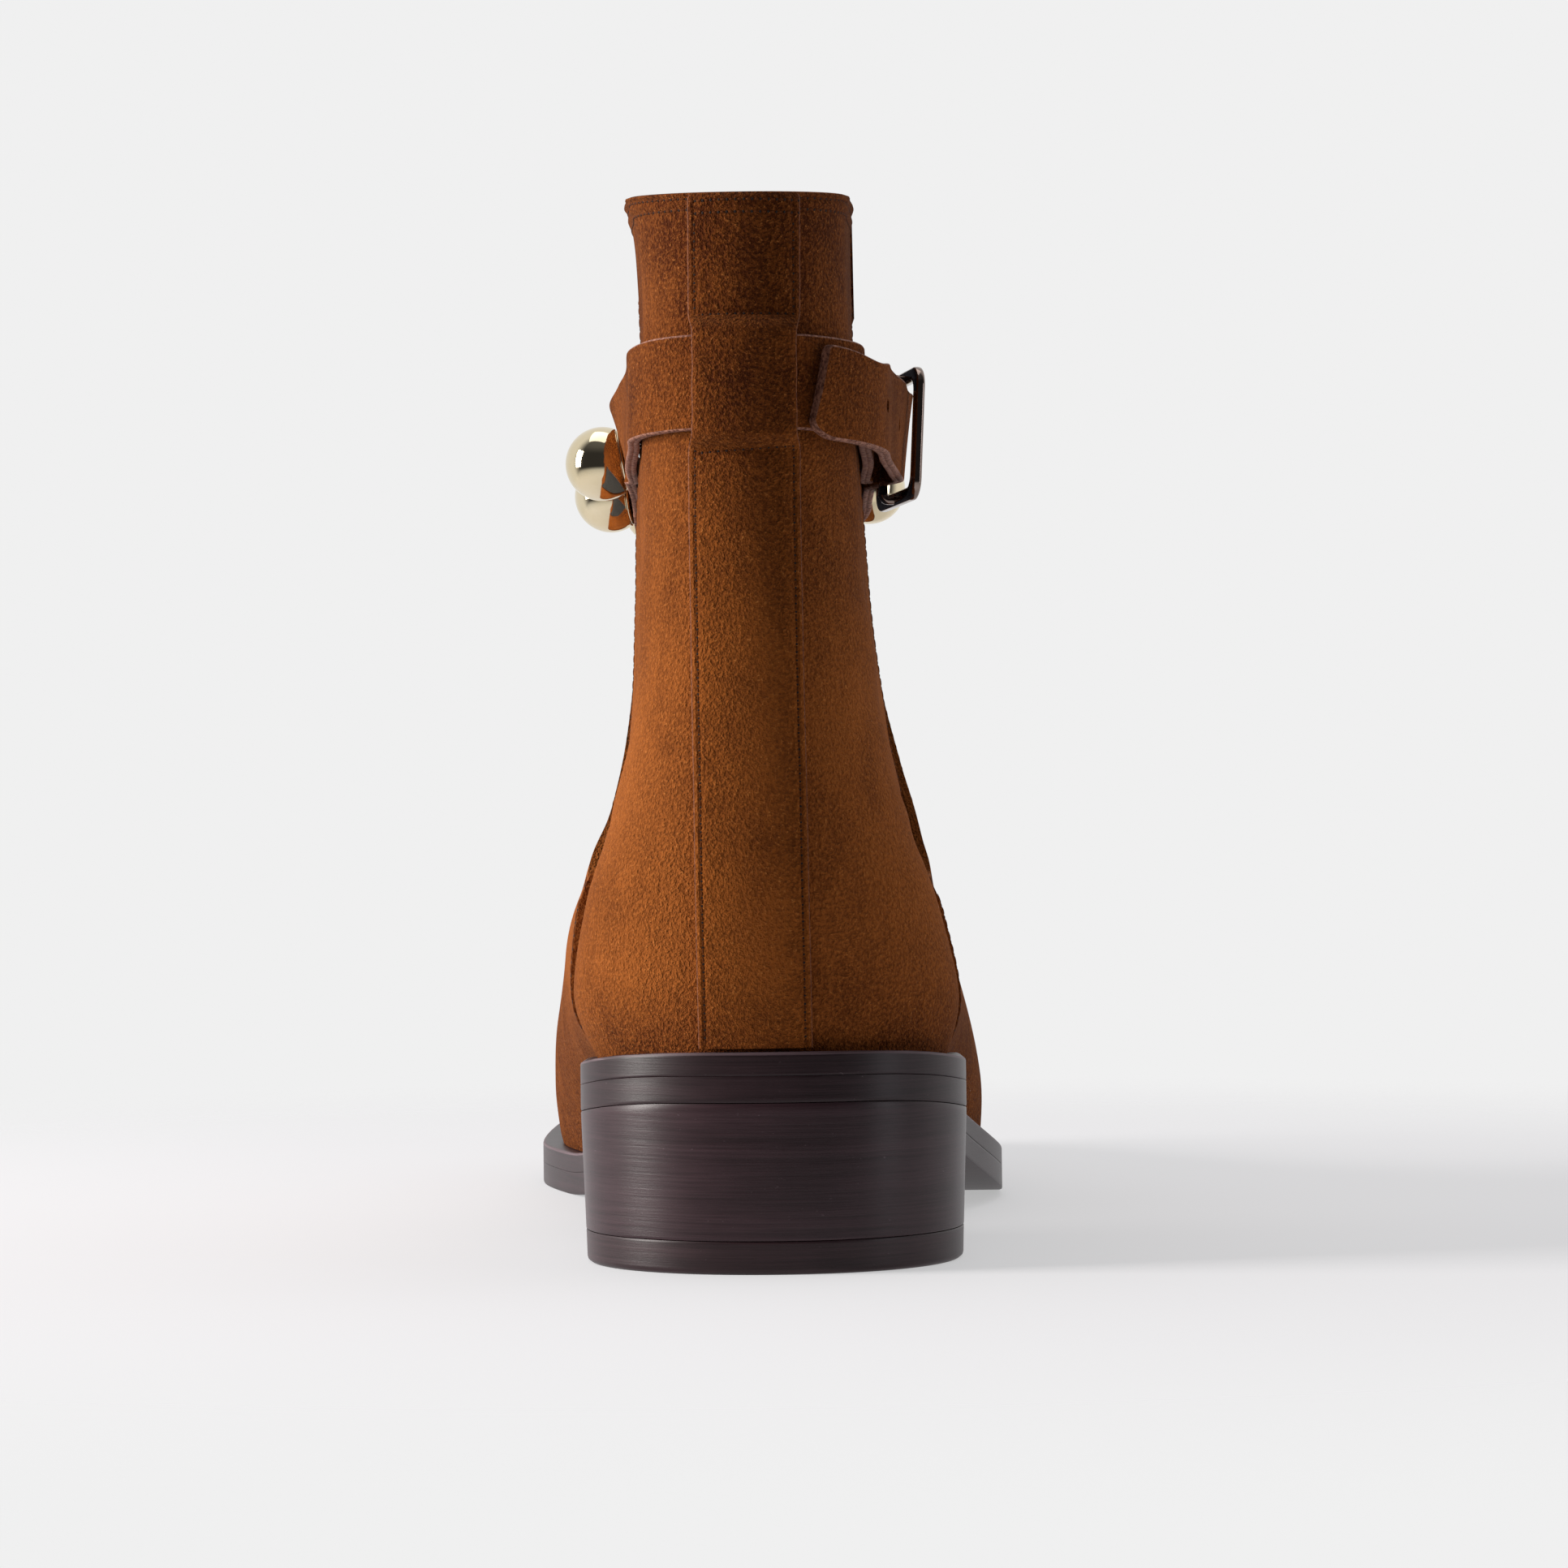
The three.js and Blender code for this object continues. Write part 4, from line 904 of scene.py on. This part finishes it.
flat = np.linspace(-1, 1, 19)
section = [(c * 0.955, 1.0) for c in flat]
section += [(0.985, 0.93), (0.998, 0.80), (1.0, 0.62), (0.985, 0.5), (1.0, 0.38), (0.998, 0.2), (0.98, 0.05)]
section += [(-c * 0.95, 0.0) for c in flat]
section += [(-0.98, 0.05), (-0.998, 0.2), (-1.0, 0.38), (-0.985, 0.5), (-1.0, 0.62), (-0.998, 0.8), (-0.985, 0.93)]
section = np.array(section)
free_end, first_end = route[-1, 0], route[0, 0]
stations = np.concatenate([
    np.linspace(first_end, free_end + 0.03, 420)[:-1],
    free_end + 0.03 * (1 - np.sin(np.linspace(0, np.pi / 2, 14)))])
half_turn = 0.121
from_end = (stations - free_end) * half_turn


def rounded_off(radius):
    """Share of the strap's half width that a corner of this radius takes away."""
    inside_corner = np.clip(1 - from_end / radius, 0, 1)
    return radius * (1 - np.sqrt(1 - inside_corner ** 2)) / (strap_width / 2)


half_section = section[None, :, 0]
across = half_section * (1 - np.where(half_section > 0, rounded_off(0.0010)[:, None],
                                      rounded_off(0.0028)[:, None]))
across = across * (1 - 0.17 * np.clip(half_section, 0, 1)
                   * np.exp(-((from_end - 0.012) / 0.0055) ** 2)[:, None])
slant = 0.010 * np.exp(-np.maximum(from_end, 0) / 0.004)[:, None] * half_section
wave = 0.00025 * np.sin(stations * 41.0)[:, None] * np.clip(half_section, 0, 1) ** 2
body = on_strap(stations[:, None] + slant, across, section[None, :, 1] * strap_thickness + wave)

strap = mesh_of("strap_suede", body, False, True, True)
clad(strap, suede("strap_suede", "#8F4E20", "#431C08"), raw_edge("strap_edge", "#A5735E"))
top = len(flat)
side_faces = list(range(top - 1, top + 7)) + list(range(2 * top + 6, 2 * top + 14))
paint_edges(strap, side_faces, len(section))
strap_faces = len(strap.data.polygons)
ends = np.zeros(strap_faces, dtype=np.int32)
strap.data.polygons.foreach_get("material_index", ends)
ends[-2:] = 1
strap.data.polygons.foreach_set("material_index", ends)
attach(strap, "root")
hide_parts("ankle_strap")


# Ball studs
# Hollow brass balls with a flat foot, plated pale gold and polished, riveted through the strap.
def plated(name, colour, wiped_colour, rough):
    material, paint = new_material(name)
    place = paint.place()
    wiped = paint.noise(place, 160.0, 3.0, 0.6)
    dust = paint.noise(place, 1900.0, 2.0, 0.5)
    roughness = wiped * 0.04 + dust.between(0.6, 0.8) * 0.06 + rough
    paint.surface({
        "Base Color": wiped.blend(linear(colour), linear(wiped_colour)), "Metallic": 1.0,
        "Roughness": roughness})
    return material


def strap_spot(around):
    middle = on_strap(around, 0.0, strap_thickness)
    up = on_strap(around, 1.0, strap_thickness) - on_strap(around, -1.0, strap_thickness)
    along = on_strap(around - 0.01, 0.0, strap_thickness) - on_strap(around + 0.01, 0.0, strap_thickness)
    out = np.cross(up, along)
    return middle, out / np.linalg.norm(out)


pale_gold = plated("pale_gold", "#D9C7A0", "#E9DDC2", 0.035)
stud_radius = 0.0066
foot_angle = -math.asin(0.62)
for number, around in enumerate((-0.585, -0.69, -0.85, -1.04, -1.23), start=1):
    foot, out = strap_spot(around)
    profile = [(0.0, 0.0), (0.0050, 0.0), (0.00535, 0.00012), (0.0055, 0.0004), (0.0054, 0.00072)]
    for angle in np.linspace(foot_angle + 0.14, math.pi / 2, 40)[:-1]:
        profile.append((math.cos(angle) * stud_radius, (math.sin(angle) + 0.62) * stud_radius))
    profile.append((0.0, 1.62 * stud_radius))
    turn = Vector((0, 0, 1)).rotation_difference(Vector(out)).to_matrix()
    rings = []
    for angle in np.linspace(0, 2 * np.pi, 65)[:-1]:
        rings.append([turn @ Vector((r * math.cos(angle), r * math.sin(angle), h + 0.0003))
                      + Vector(foot) for r, h in profile])
    stud = mesh_of(f"ball_stud_{number}", np.array([[list(p) for p in ring] for ring in rings]), True, False)
    clad(stud, pale_gold)
    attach(stud, "root")
    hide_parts(f"stud_{number}")


# Buckle
# A cast frame with rounded corners and polished faces, dark grey-gold, with its centre bar on two
# short legs between the strap's layers and a prong that lies on the front bar.
bar_share = 0.5 - buckle_bar / buckle_length
over_strap = strap_thickness + 0.00096 + buckle_thickness / 2
front_bar = on_strap(beside_bar(bar_share), 0.0, over_strap)
rear_bar = on_strap(beside_bar(-bar_share), 0.0, over_strap)
rise = on_strap(bar_place, 1.0, 0.0) - on_strap(bar_place, -1.0, 0.0)
forward = (front_bar - rear_bar) / np.linalg.norm(front_bar - rear_bar)
face_out = np.cross(forward, rise)
face_out /= np.linalg.norm(face_out)
upward = np.cross(face_out, forward)
buckle_centre = (front_bar + rear_bar) / 2
between = (on_strap(bar_place, 0.0, 0.0) + on_strap(route[0, 0], 0.0, strap_thickness)) / 2
bar_drop = float((buckle_centre - between) @ face_out)


def buckle_place(points):
    points = np.asarray(points, float)
    return buckle_centre + points[..., :1] * forward + points[..., 1:2] * upward + points[..., 2:] * face_out


def rounded_loop(length, height, radius, steps=9):
    loop = []
    for cx, cy, start in ((1, -1, -90), (1, 1, 0), (-1, 1, 90), (-1, -1, 180)):
        for step in range(steps):
            angle = math.radians(start + 90 * step / (steps - 1))
            loop.append((cx * (length / 2 - radius) + radius * math.cos(angle),
                         cy * (height / 2 - radius) + radius * math.sin(angle)))
    return np.array(loop)


outer_loop = rounded_loop(buckle_length, buckle_height, 0.0035)
inner_loop = rounded_loop(buckle_length - 2 * buckle_bar, buckle_height - 2 * buckle_bar, 0.0023)
rings = []
for angle in np.linspace(0, 2 * np.pi, 25)[:-1]:
    c, s = math.cos(angle), math.sin(angle)
    share = 0.5 + 0.5 * math.copysign(abs(c) ** 0.62, c)
    level = math.copysign(abs(s) ** 0.62, s) * buckle_thickness / 2
    flat_ring = mix(inner_loop, outer_loop, share)
    rings.append(np.column_stack([flat_ring, np.full(len(flat_ring), level)]))
frame_piece = mesh_of("buckle_frame_cast", buckle_place(np.array(rings)), True, True)


def rod(name, spine, width, height, sides=16, square=0.7):
    """A rod along a line of points in the buckle's own place, with its width and height at each."""
    spine = np.asarray(spine, float)
    line = np.gradient(spine, axis=0)
    line /= np.linalg.norm(line, axis=1, keepdims=True)
    widths, tall = np.broadcast_to(width, len(spine)), np.broadcast_to(height, len(spine))
    side = np.cross(line, np.array([0.0, 0.0, 1.0]) if abs(line[0][2]) < 0.9 else np.array([0.0, 1.0, 0.0]))
    side /= np.linalg.norm(side, axis=1, keepdims=True)
    top = np.cross(side, line)
    loops = []
    for index in range(len(spine)):
        loop = []
        for angle in np.linspace(0, 2 * np.pi, sides + 1)[:-1]:
            c, s = math.cos(angle), math.sin(angle)
            loop.append(spine[index]
                        + side[index] * widths[index] / 2 * math.copysign(abs(c) ** square, c)
                        + top[index] * tall[index] / 2 * math.copysign(abs(s) ** square, s))
        loops.append(loop)
    return mesh_of(name, buckle_place(np.array(loops)), False, True, True)


half = buckle_height / 2 - 0.0011
bend_steps = np.linspace(0, 1, 7)
spine = [(0, -half, -0.0002)]
for sign in (-1, 1):
    turnings = [(0, sign * (half + 0.0001 - 0.0007 * (1 - math.cos(t * math.pi / 2))),
                 -bar_drop + 0.0009 * (1 - t)) for t in bend_steps]
    spine += turnings if sign < 0 else turnings[::-1]
spine.append((0, half, -0.0002))
centre_bar = rod("centre_bar", spine, 0.0019, 0.0017)
with bpy.context.temp_override(active_object=frame_piece, selected_editable_objects=[frame_piece, centre_bar]):
    bpy.ops.object.join()
gunmetal = plated("dark_plate", "#6C5C54", "#988880", 0.08)
clad(frame_piece, gunmetal)
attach(frame_piece, "root")
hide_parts("buckle_frame")

low_z = buckle_thickness / 2 + 0.0003
tip = buckle_length / 2
along_prong = np.linspace(0, 1, 16)
prong_spine = np.column_stack([
    mix(buckle_bar / 2 + 0.0004, tip - 0.0001, along_prong), np.zeros(16),
    mix(-bar_drop, low_z + 0.0006, ease(along_prong * 1.12) * 0.96 + 0.04 * along_prong)])
prong = rod("prong", prong_spine, mix(0.0020, 0.0015, along_prong ** 2),
            mix(0.0014, 0.0009, along_prong ** 3), square=0.85)
clad(prong, gunmetal)
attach(prong, "root")
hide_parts("buckle_prong")

# Holes in the strap: the prong's, one under the rear bar and one towards the free end
for place, radius in ((beside_bar(0.2), 0.0011), (-1.66, 0.0011), (-1.78, 0.0011)):
    middle, out = strap_spot(place)
    turn = Vector((0, 0, 1)).rotation_difference(Vector(out)).to_matrix()
    drill = [[list(turn @ Vector((radius * math.cos(a), radius * math.sin(a), h)) + Vector(middle))
              for a in np.linspace(0, 2 * np.pi, 21)[:-1]] for h in (-0.0026, 0.0014)]
    cut(strap, mesh_of("drill", np.array(drill), False, True, True), "DIFFERENCE")


# Footbed
# Smooth tan leather glued over the insole board, its edge rolled under.
def slab(name, row, profile, across_steps=14):
    """A layer under the foot: its outline comes from a form's row, profile gives inset and height."""
    back_y, front_y = row[0] * sole_length, row[2] * sole_length
    heel_y = back_y + row[7] * sole_length
    stations = np.concatenate([
        heel_y - (heel_y - back_y) * np.cos(np.linspace(0, np.pi / 2, 26))[1:-1],
        np.linspace(heel_y, 0.52 * sole_length, 60)[:-1],
        0.52 * sole_length + (front_y - 0.52 * sole_length) * np.sin(np.linspace(0, np.pi / 2, 60))[:-1]])
    rows = np.broadcast_to(row, (len(stations), 16))
    middle = (back_y + front_y) / 2
    loops = []
    for inset, height in profile:
        shrink = 1 - inset / (front_y - middle)
        y = middle + (stations - middle) * shrink
        halves = []
        for outer in (True, False):
            x = side_of(rows, np.full(len(stations), outer), stations) - (1 if outer else -1) * inset
            halves.append(np.column_stack([x, y, height(y)]))
        tips = [np.array([[row[k] * ball_width, yy, float(height(yy))]])
                for k, yy in ((5, back_y + inset), (6, front_y - inset))]
        loops.append(np.concatenate([tips[0], halves[0], tips[1], halves[1][::-1]]))
    return capped(name, np.array(loops), across_steps)


def bands(levels, count):
    """The faces between loops of points that lie one above another."""
    faces = []
    for level in range(levels - 1):
        for i in range(count):
            j = (i + 1) % count
            faces.append((level * count + i, level * count + j, (level + 1) * count + j,
                          (level + 1) * count + i))
    return faces


def capped(name, loops, across_steps):
    """Loops joined up, with both ends closed by rungs from one side to the other."""
    count = loops.shape[1]
    points = loops.reshape(-1, 3).tolist()
    faces = bands(len(loops), count)
    for start in (0, (len(loops) - 1) * count):
        rungs = []
        for i in range(1, count // 2):
            a, b = start + i, start + count - i
            ids = [a]
            for step in range(1, across_steps):
                share = step / across_steps
                points.append([mix(points[a][k], points[b][k], share) for k in range(3)])
                ids.append(len(points) - 1)
            rungs.append(ids + [b])
        for first, second in zip(rungs, rungs[1:]):
            faces += [(first[k], first[k + 1], second[k + 1], second[k]) for k in range(across_steps)]
        for tip, rung in ((start, rungs[0]), (start + count // 2, rungs[-1])):
            faces += [(tip, rung[k], rung[k + 1]) for k in range(across_steps)]
    mesh = bpy.data.meshes.new(name)
    mesh.from_pydata(points, [], faces)
    return turned_out(name, mesh, 50.0)


insole = slab("footbed", form[0], [
    (0.0036, lambda y: sole_top(y) + 0.0003), (0.0033, lambda y: sole_top(y) + 0.0006),
    (0.0033, lambda y: sole_top(y) + 0.0027), (0.0036, lambda y: sole_top(y) + 0.0031),
    (0.0042, lambda y: sole_top(y) + 0.0033)])
footbed_leather, paint = new_material("footbed_leather")
place = paint.place()
pores = paint.noise(place, 1400.0, 3.0, 0.6)
worn = paint.noise(place, 45.0, 3.0, 0.5)
tone = (worn * 0.7 + pores * 0.3).blend(linear("#9A7552"), linear("#C39B74"))
paint.surface({
    "Base Color": tone, "Roughness": worn * 0.2 + 0.45, "Normal": paint.bump(pores, 0.0001, 0.4)})
clad(insole, footbed_leather)
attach(insole, "root")
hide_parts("insole")


# Sole edge
# Two layers of sole leather, trimmed flush, their edges inked dark brown and burnished to a satin,
# the upper layer with a thin lighter rim along its top edge, a painted highlight. They are glued, and their joint
# shows as a fine line.
def inked(name, dark, light, rough, stack):
    """Burnished leather edge: fine level grain, ink rubbed thin in places, a satin coat."""
    material, paint = new_material(name)
    place = paint.place()
    grain = paint.noise(paint.stretched(place, (55.0, 55.0, 2600.0)), 1.0, 4.0, 0.65)
    layers = paint.noise(paint.stretched(place, (14.0, 14.0, 620.0)), 1.0, 2.0, 0.5)
    rubbed = paint.noise(place, 60.0, 3.0, 0.6)
    nicks = paint.noise(paint.stretched(place, (900.0, 900.0, 1700.0)), 1.0, 2.0, 0.6)
    tone = (grain * 0.45 + layers * 0.3 + rubbed * 0.25).between(0.32, 0.7)
    colour = (nicks.between(0.7, 0.8) * 0.15).blend(tone.blend(linear(dark), linear(light)),
                                                     linear("#8C7A80"))
    height = grain * 0.7 + layers * stack + nicks * 0.15
    paint.surface({
        "Base Color": colour, "Roughness": grain * 0.06 + rough, "Coat Weight": rubbed * 0.06,
        "Coat Roughness": 0.3, "Specular IOR Level": 0.26, "Normal": paint.bump(height, 0.0002, 0.22)})
    return material


sole_row = np.array([-0.122, 0, 0.878, 0, 1, 0, -0.085, 0.118, 0.27, 0.44, 0.515, 0.5, 0.3, 0.335, 0.525, 0.48])
edge_ink = inked("edge_ink", "#1B0E11", "#322125", 0.36, 0.3)
# The rim ink is lighter than the edge ink: a painted highlight for the welt's rounded top edge.
rim_highlight_ink = inked("rim_highlight_ink", "#3A292D", "#6B595E", 0.45, 0.3)


def below(drop):
    return lambda y: sole_top(y) - drop


welt = slab("welt_edge", sole_row, [
    (0.0003, below(0.0037)), (0.00004, below(0.00368)), (0.0, below(0.0036)),
    (0.0, below(0.0034)), (0.0, below(0.0007)), (0.0, below(0.0005)),
    (0.0001, below(0.00015)), (0.00045, below(0.0))])
clad(welt, edge_ink, rim_highlight_ink)
ring = 2 * (24 + 59 + 59) + 2
# The welt's two top bands, its rounded upper rim, get the lighter ink: painted highlight.
highlight_rim_faces = np.zeros(len(welt.data.polygons), dtype=np.int32)
highlight_rim_faces[5 * ring:7 * ring] = 1
welt.data.polygons.foreach_set("material_index", highlight_rim_faces)
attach(welt, "root")
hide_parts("welt")

outsole_profile = [
    (0.0003, below(0.008)), (0.00005, below(0.0079)), (0.0, below(0.0077)), (0.0, below(0.0074)),
    (0.0, below(0.0041)), (0.0, below(0.0038)), (0.0001, below(0.0037))]
outsole = slab("tread_layer", sole_row, outsole_profile)
clad(outsole, edge_ink)
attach(outsole, "root")
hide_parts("outsole")


# Heel
# Thin layers of leather board glued in a stack, turned to shape with a hollow front, inked and
# waxed. A harder wearing layer is nailed underneath.
heel_back = sole_row[0] * sole_length
heel_run = 0.064


def heel_loop(share, height):
    width = mix(0.0604 / 0.062, 1.0, share)
    back = mix(-0.031, heel_back, share)
    breast = mix(0.031, heel_back + heel_run, share)
    heel_y = (sole_row[0] + sole_row[7]) * sole_length
    arc = (heel_y - heel_back) / heel_run
    places = np.concatenate([arc * (1 - np.cos(np.linspace(0, np.pi / 2, 34)))[1:-1],
                             np.linspace(arc, 1 - 0.001, 34), [1.0]])
    y = mix(back, breast, places)
    rows = np.broadcast_to(sole_row, (len(places), 16))
    halves = []
    for outer in (True, False):
        x = side_of(rows, np.full(len(places), outer), heel_back + places * heel_run) * width
        halves.append(np.column_stack([x, y, height(y)]))
    across = np.linspace(-1, 1, 25)[1:-1]
    hollow = breast - 0.0025 * (1 - across ** 2)
    edge_x = halves[0][-1][0]
    front = np.column_stack([-across * edge_x, hollow, height(hollow)])
    tip = np.array([[0.0, back, float(height(back))]])
    return np.concatenate([tip, halves[0], front, halves[1][::-1]])


def stacked(name, levels):
    """Loops at levels given as share of the heel's height, height and inset."""
    loops = []
    for share, height, inset in levels:
        loop = heel_loop(share, height)
        middle = loop.mean(axis=0)
        away = loop - middle
        away[:, 2] = 0
        length = np.linalg.norm(away, axis=1, keepdims=True)
        loops.append(loop - away / length * inset)
    loops = np.array(loops)
    mesh = bpy.data.meshes.new(name)
    count = loops.shape[1]
    faces = bands(len(loops), count)
    faces += [tuple(range(count)), tuple(range((len(loops) - 1) * count, len(loops) * count))]
    mesh.from_pydata(loops.reshape(-1, 3).tolist(), [], faces)
    return turned_out(name, mesh, 50.0)


def flat_at(height):
    return lambda y: np.full(np.shape(y), height)


heel_ink = inked("heel_ink", "#211216", "#3A272C", 0.32, 0.9)
bottom, full = 0.0053, 0.027
levels = [(bottom / full, flat_at(bottom), 0.00012),
          (bottom / full + 0.004, flat_at(bottom + 0.0001), 0.0),
          (bottom / full + 0.015, flat_at(bottom + 0.0004), 0.0)]
for share in np.linspace(0.24, 0.97, 24):
    levels.append((share, lambda y, share=share: mix(bottom, sole_top(y) - 0.0083,
                                                     (share - 0.2) / 0.8), 0.0))
levels += [(0.985, below(0.0083), 0.0), (1.0, below(0.00805), 0.0001)]
heel = stacked("heel_block", levels)
clad(heel, heel_ink)
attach(heel, "root")
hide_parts("heel_stack")

lift_levels = [(share, flat_at(height), inset) for share, height, inset in (
    (0.0, 0.0, 0.0006), (0.01, 0.0004, 0.0001), (0.03, 0.0008, 0.0), (0.035, 0.001, 0.0),
    (0.165, 0.0048, 0.0), (0.17, 0.005, 0.0), (0.185, 0.0052, 0.0001))]
top_lift = stacked("wearing_layer", lift_levels)
clad(top_lift, inked("lift_ink", "#1E0F12", "#362327", 0.36, 0.1))
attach(top_lift, "root")
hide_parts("top_lift")
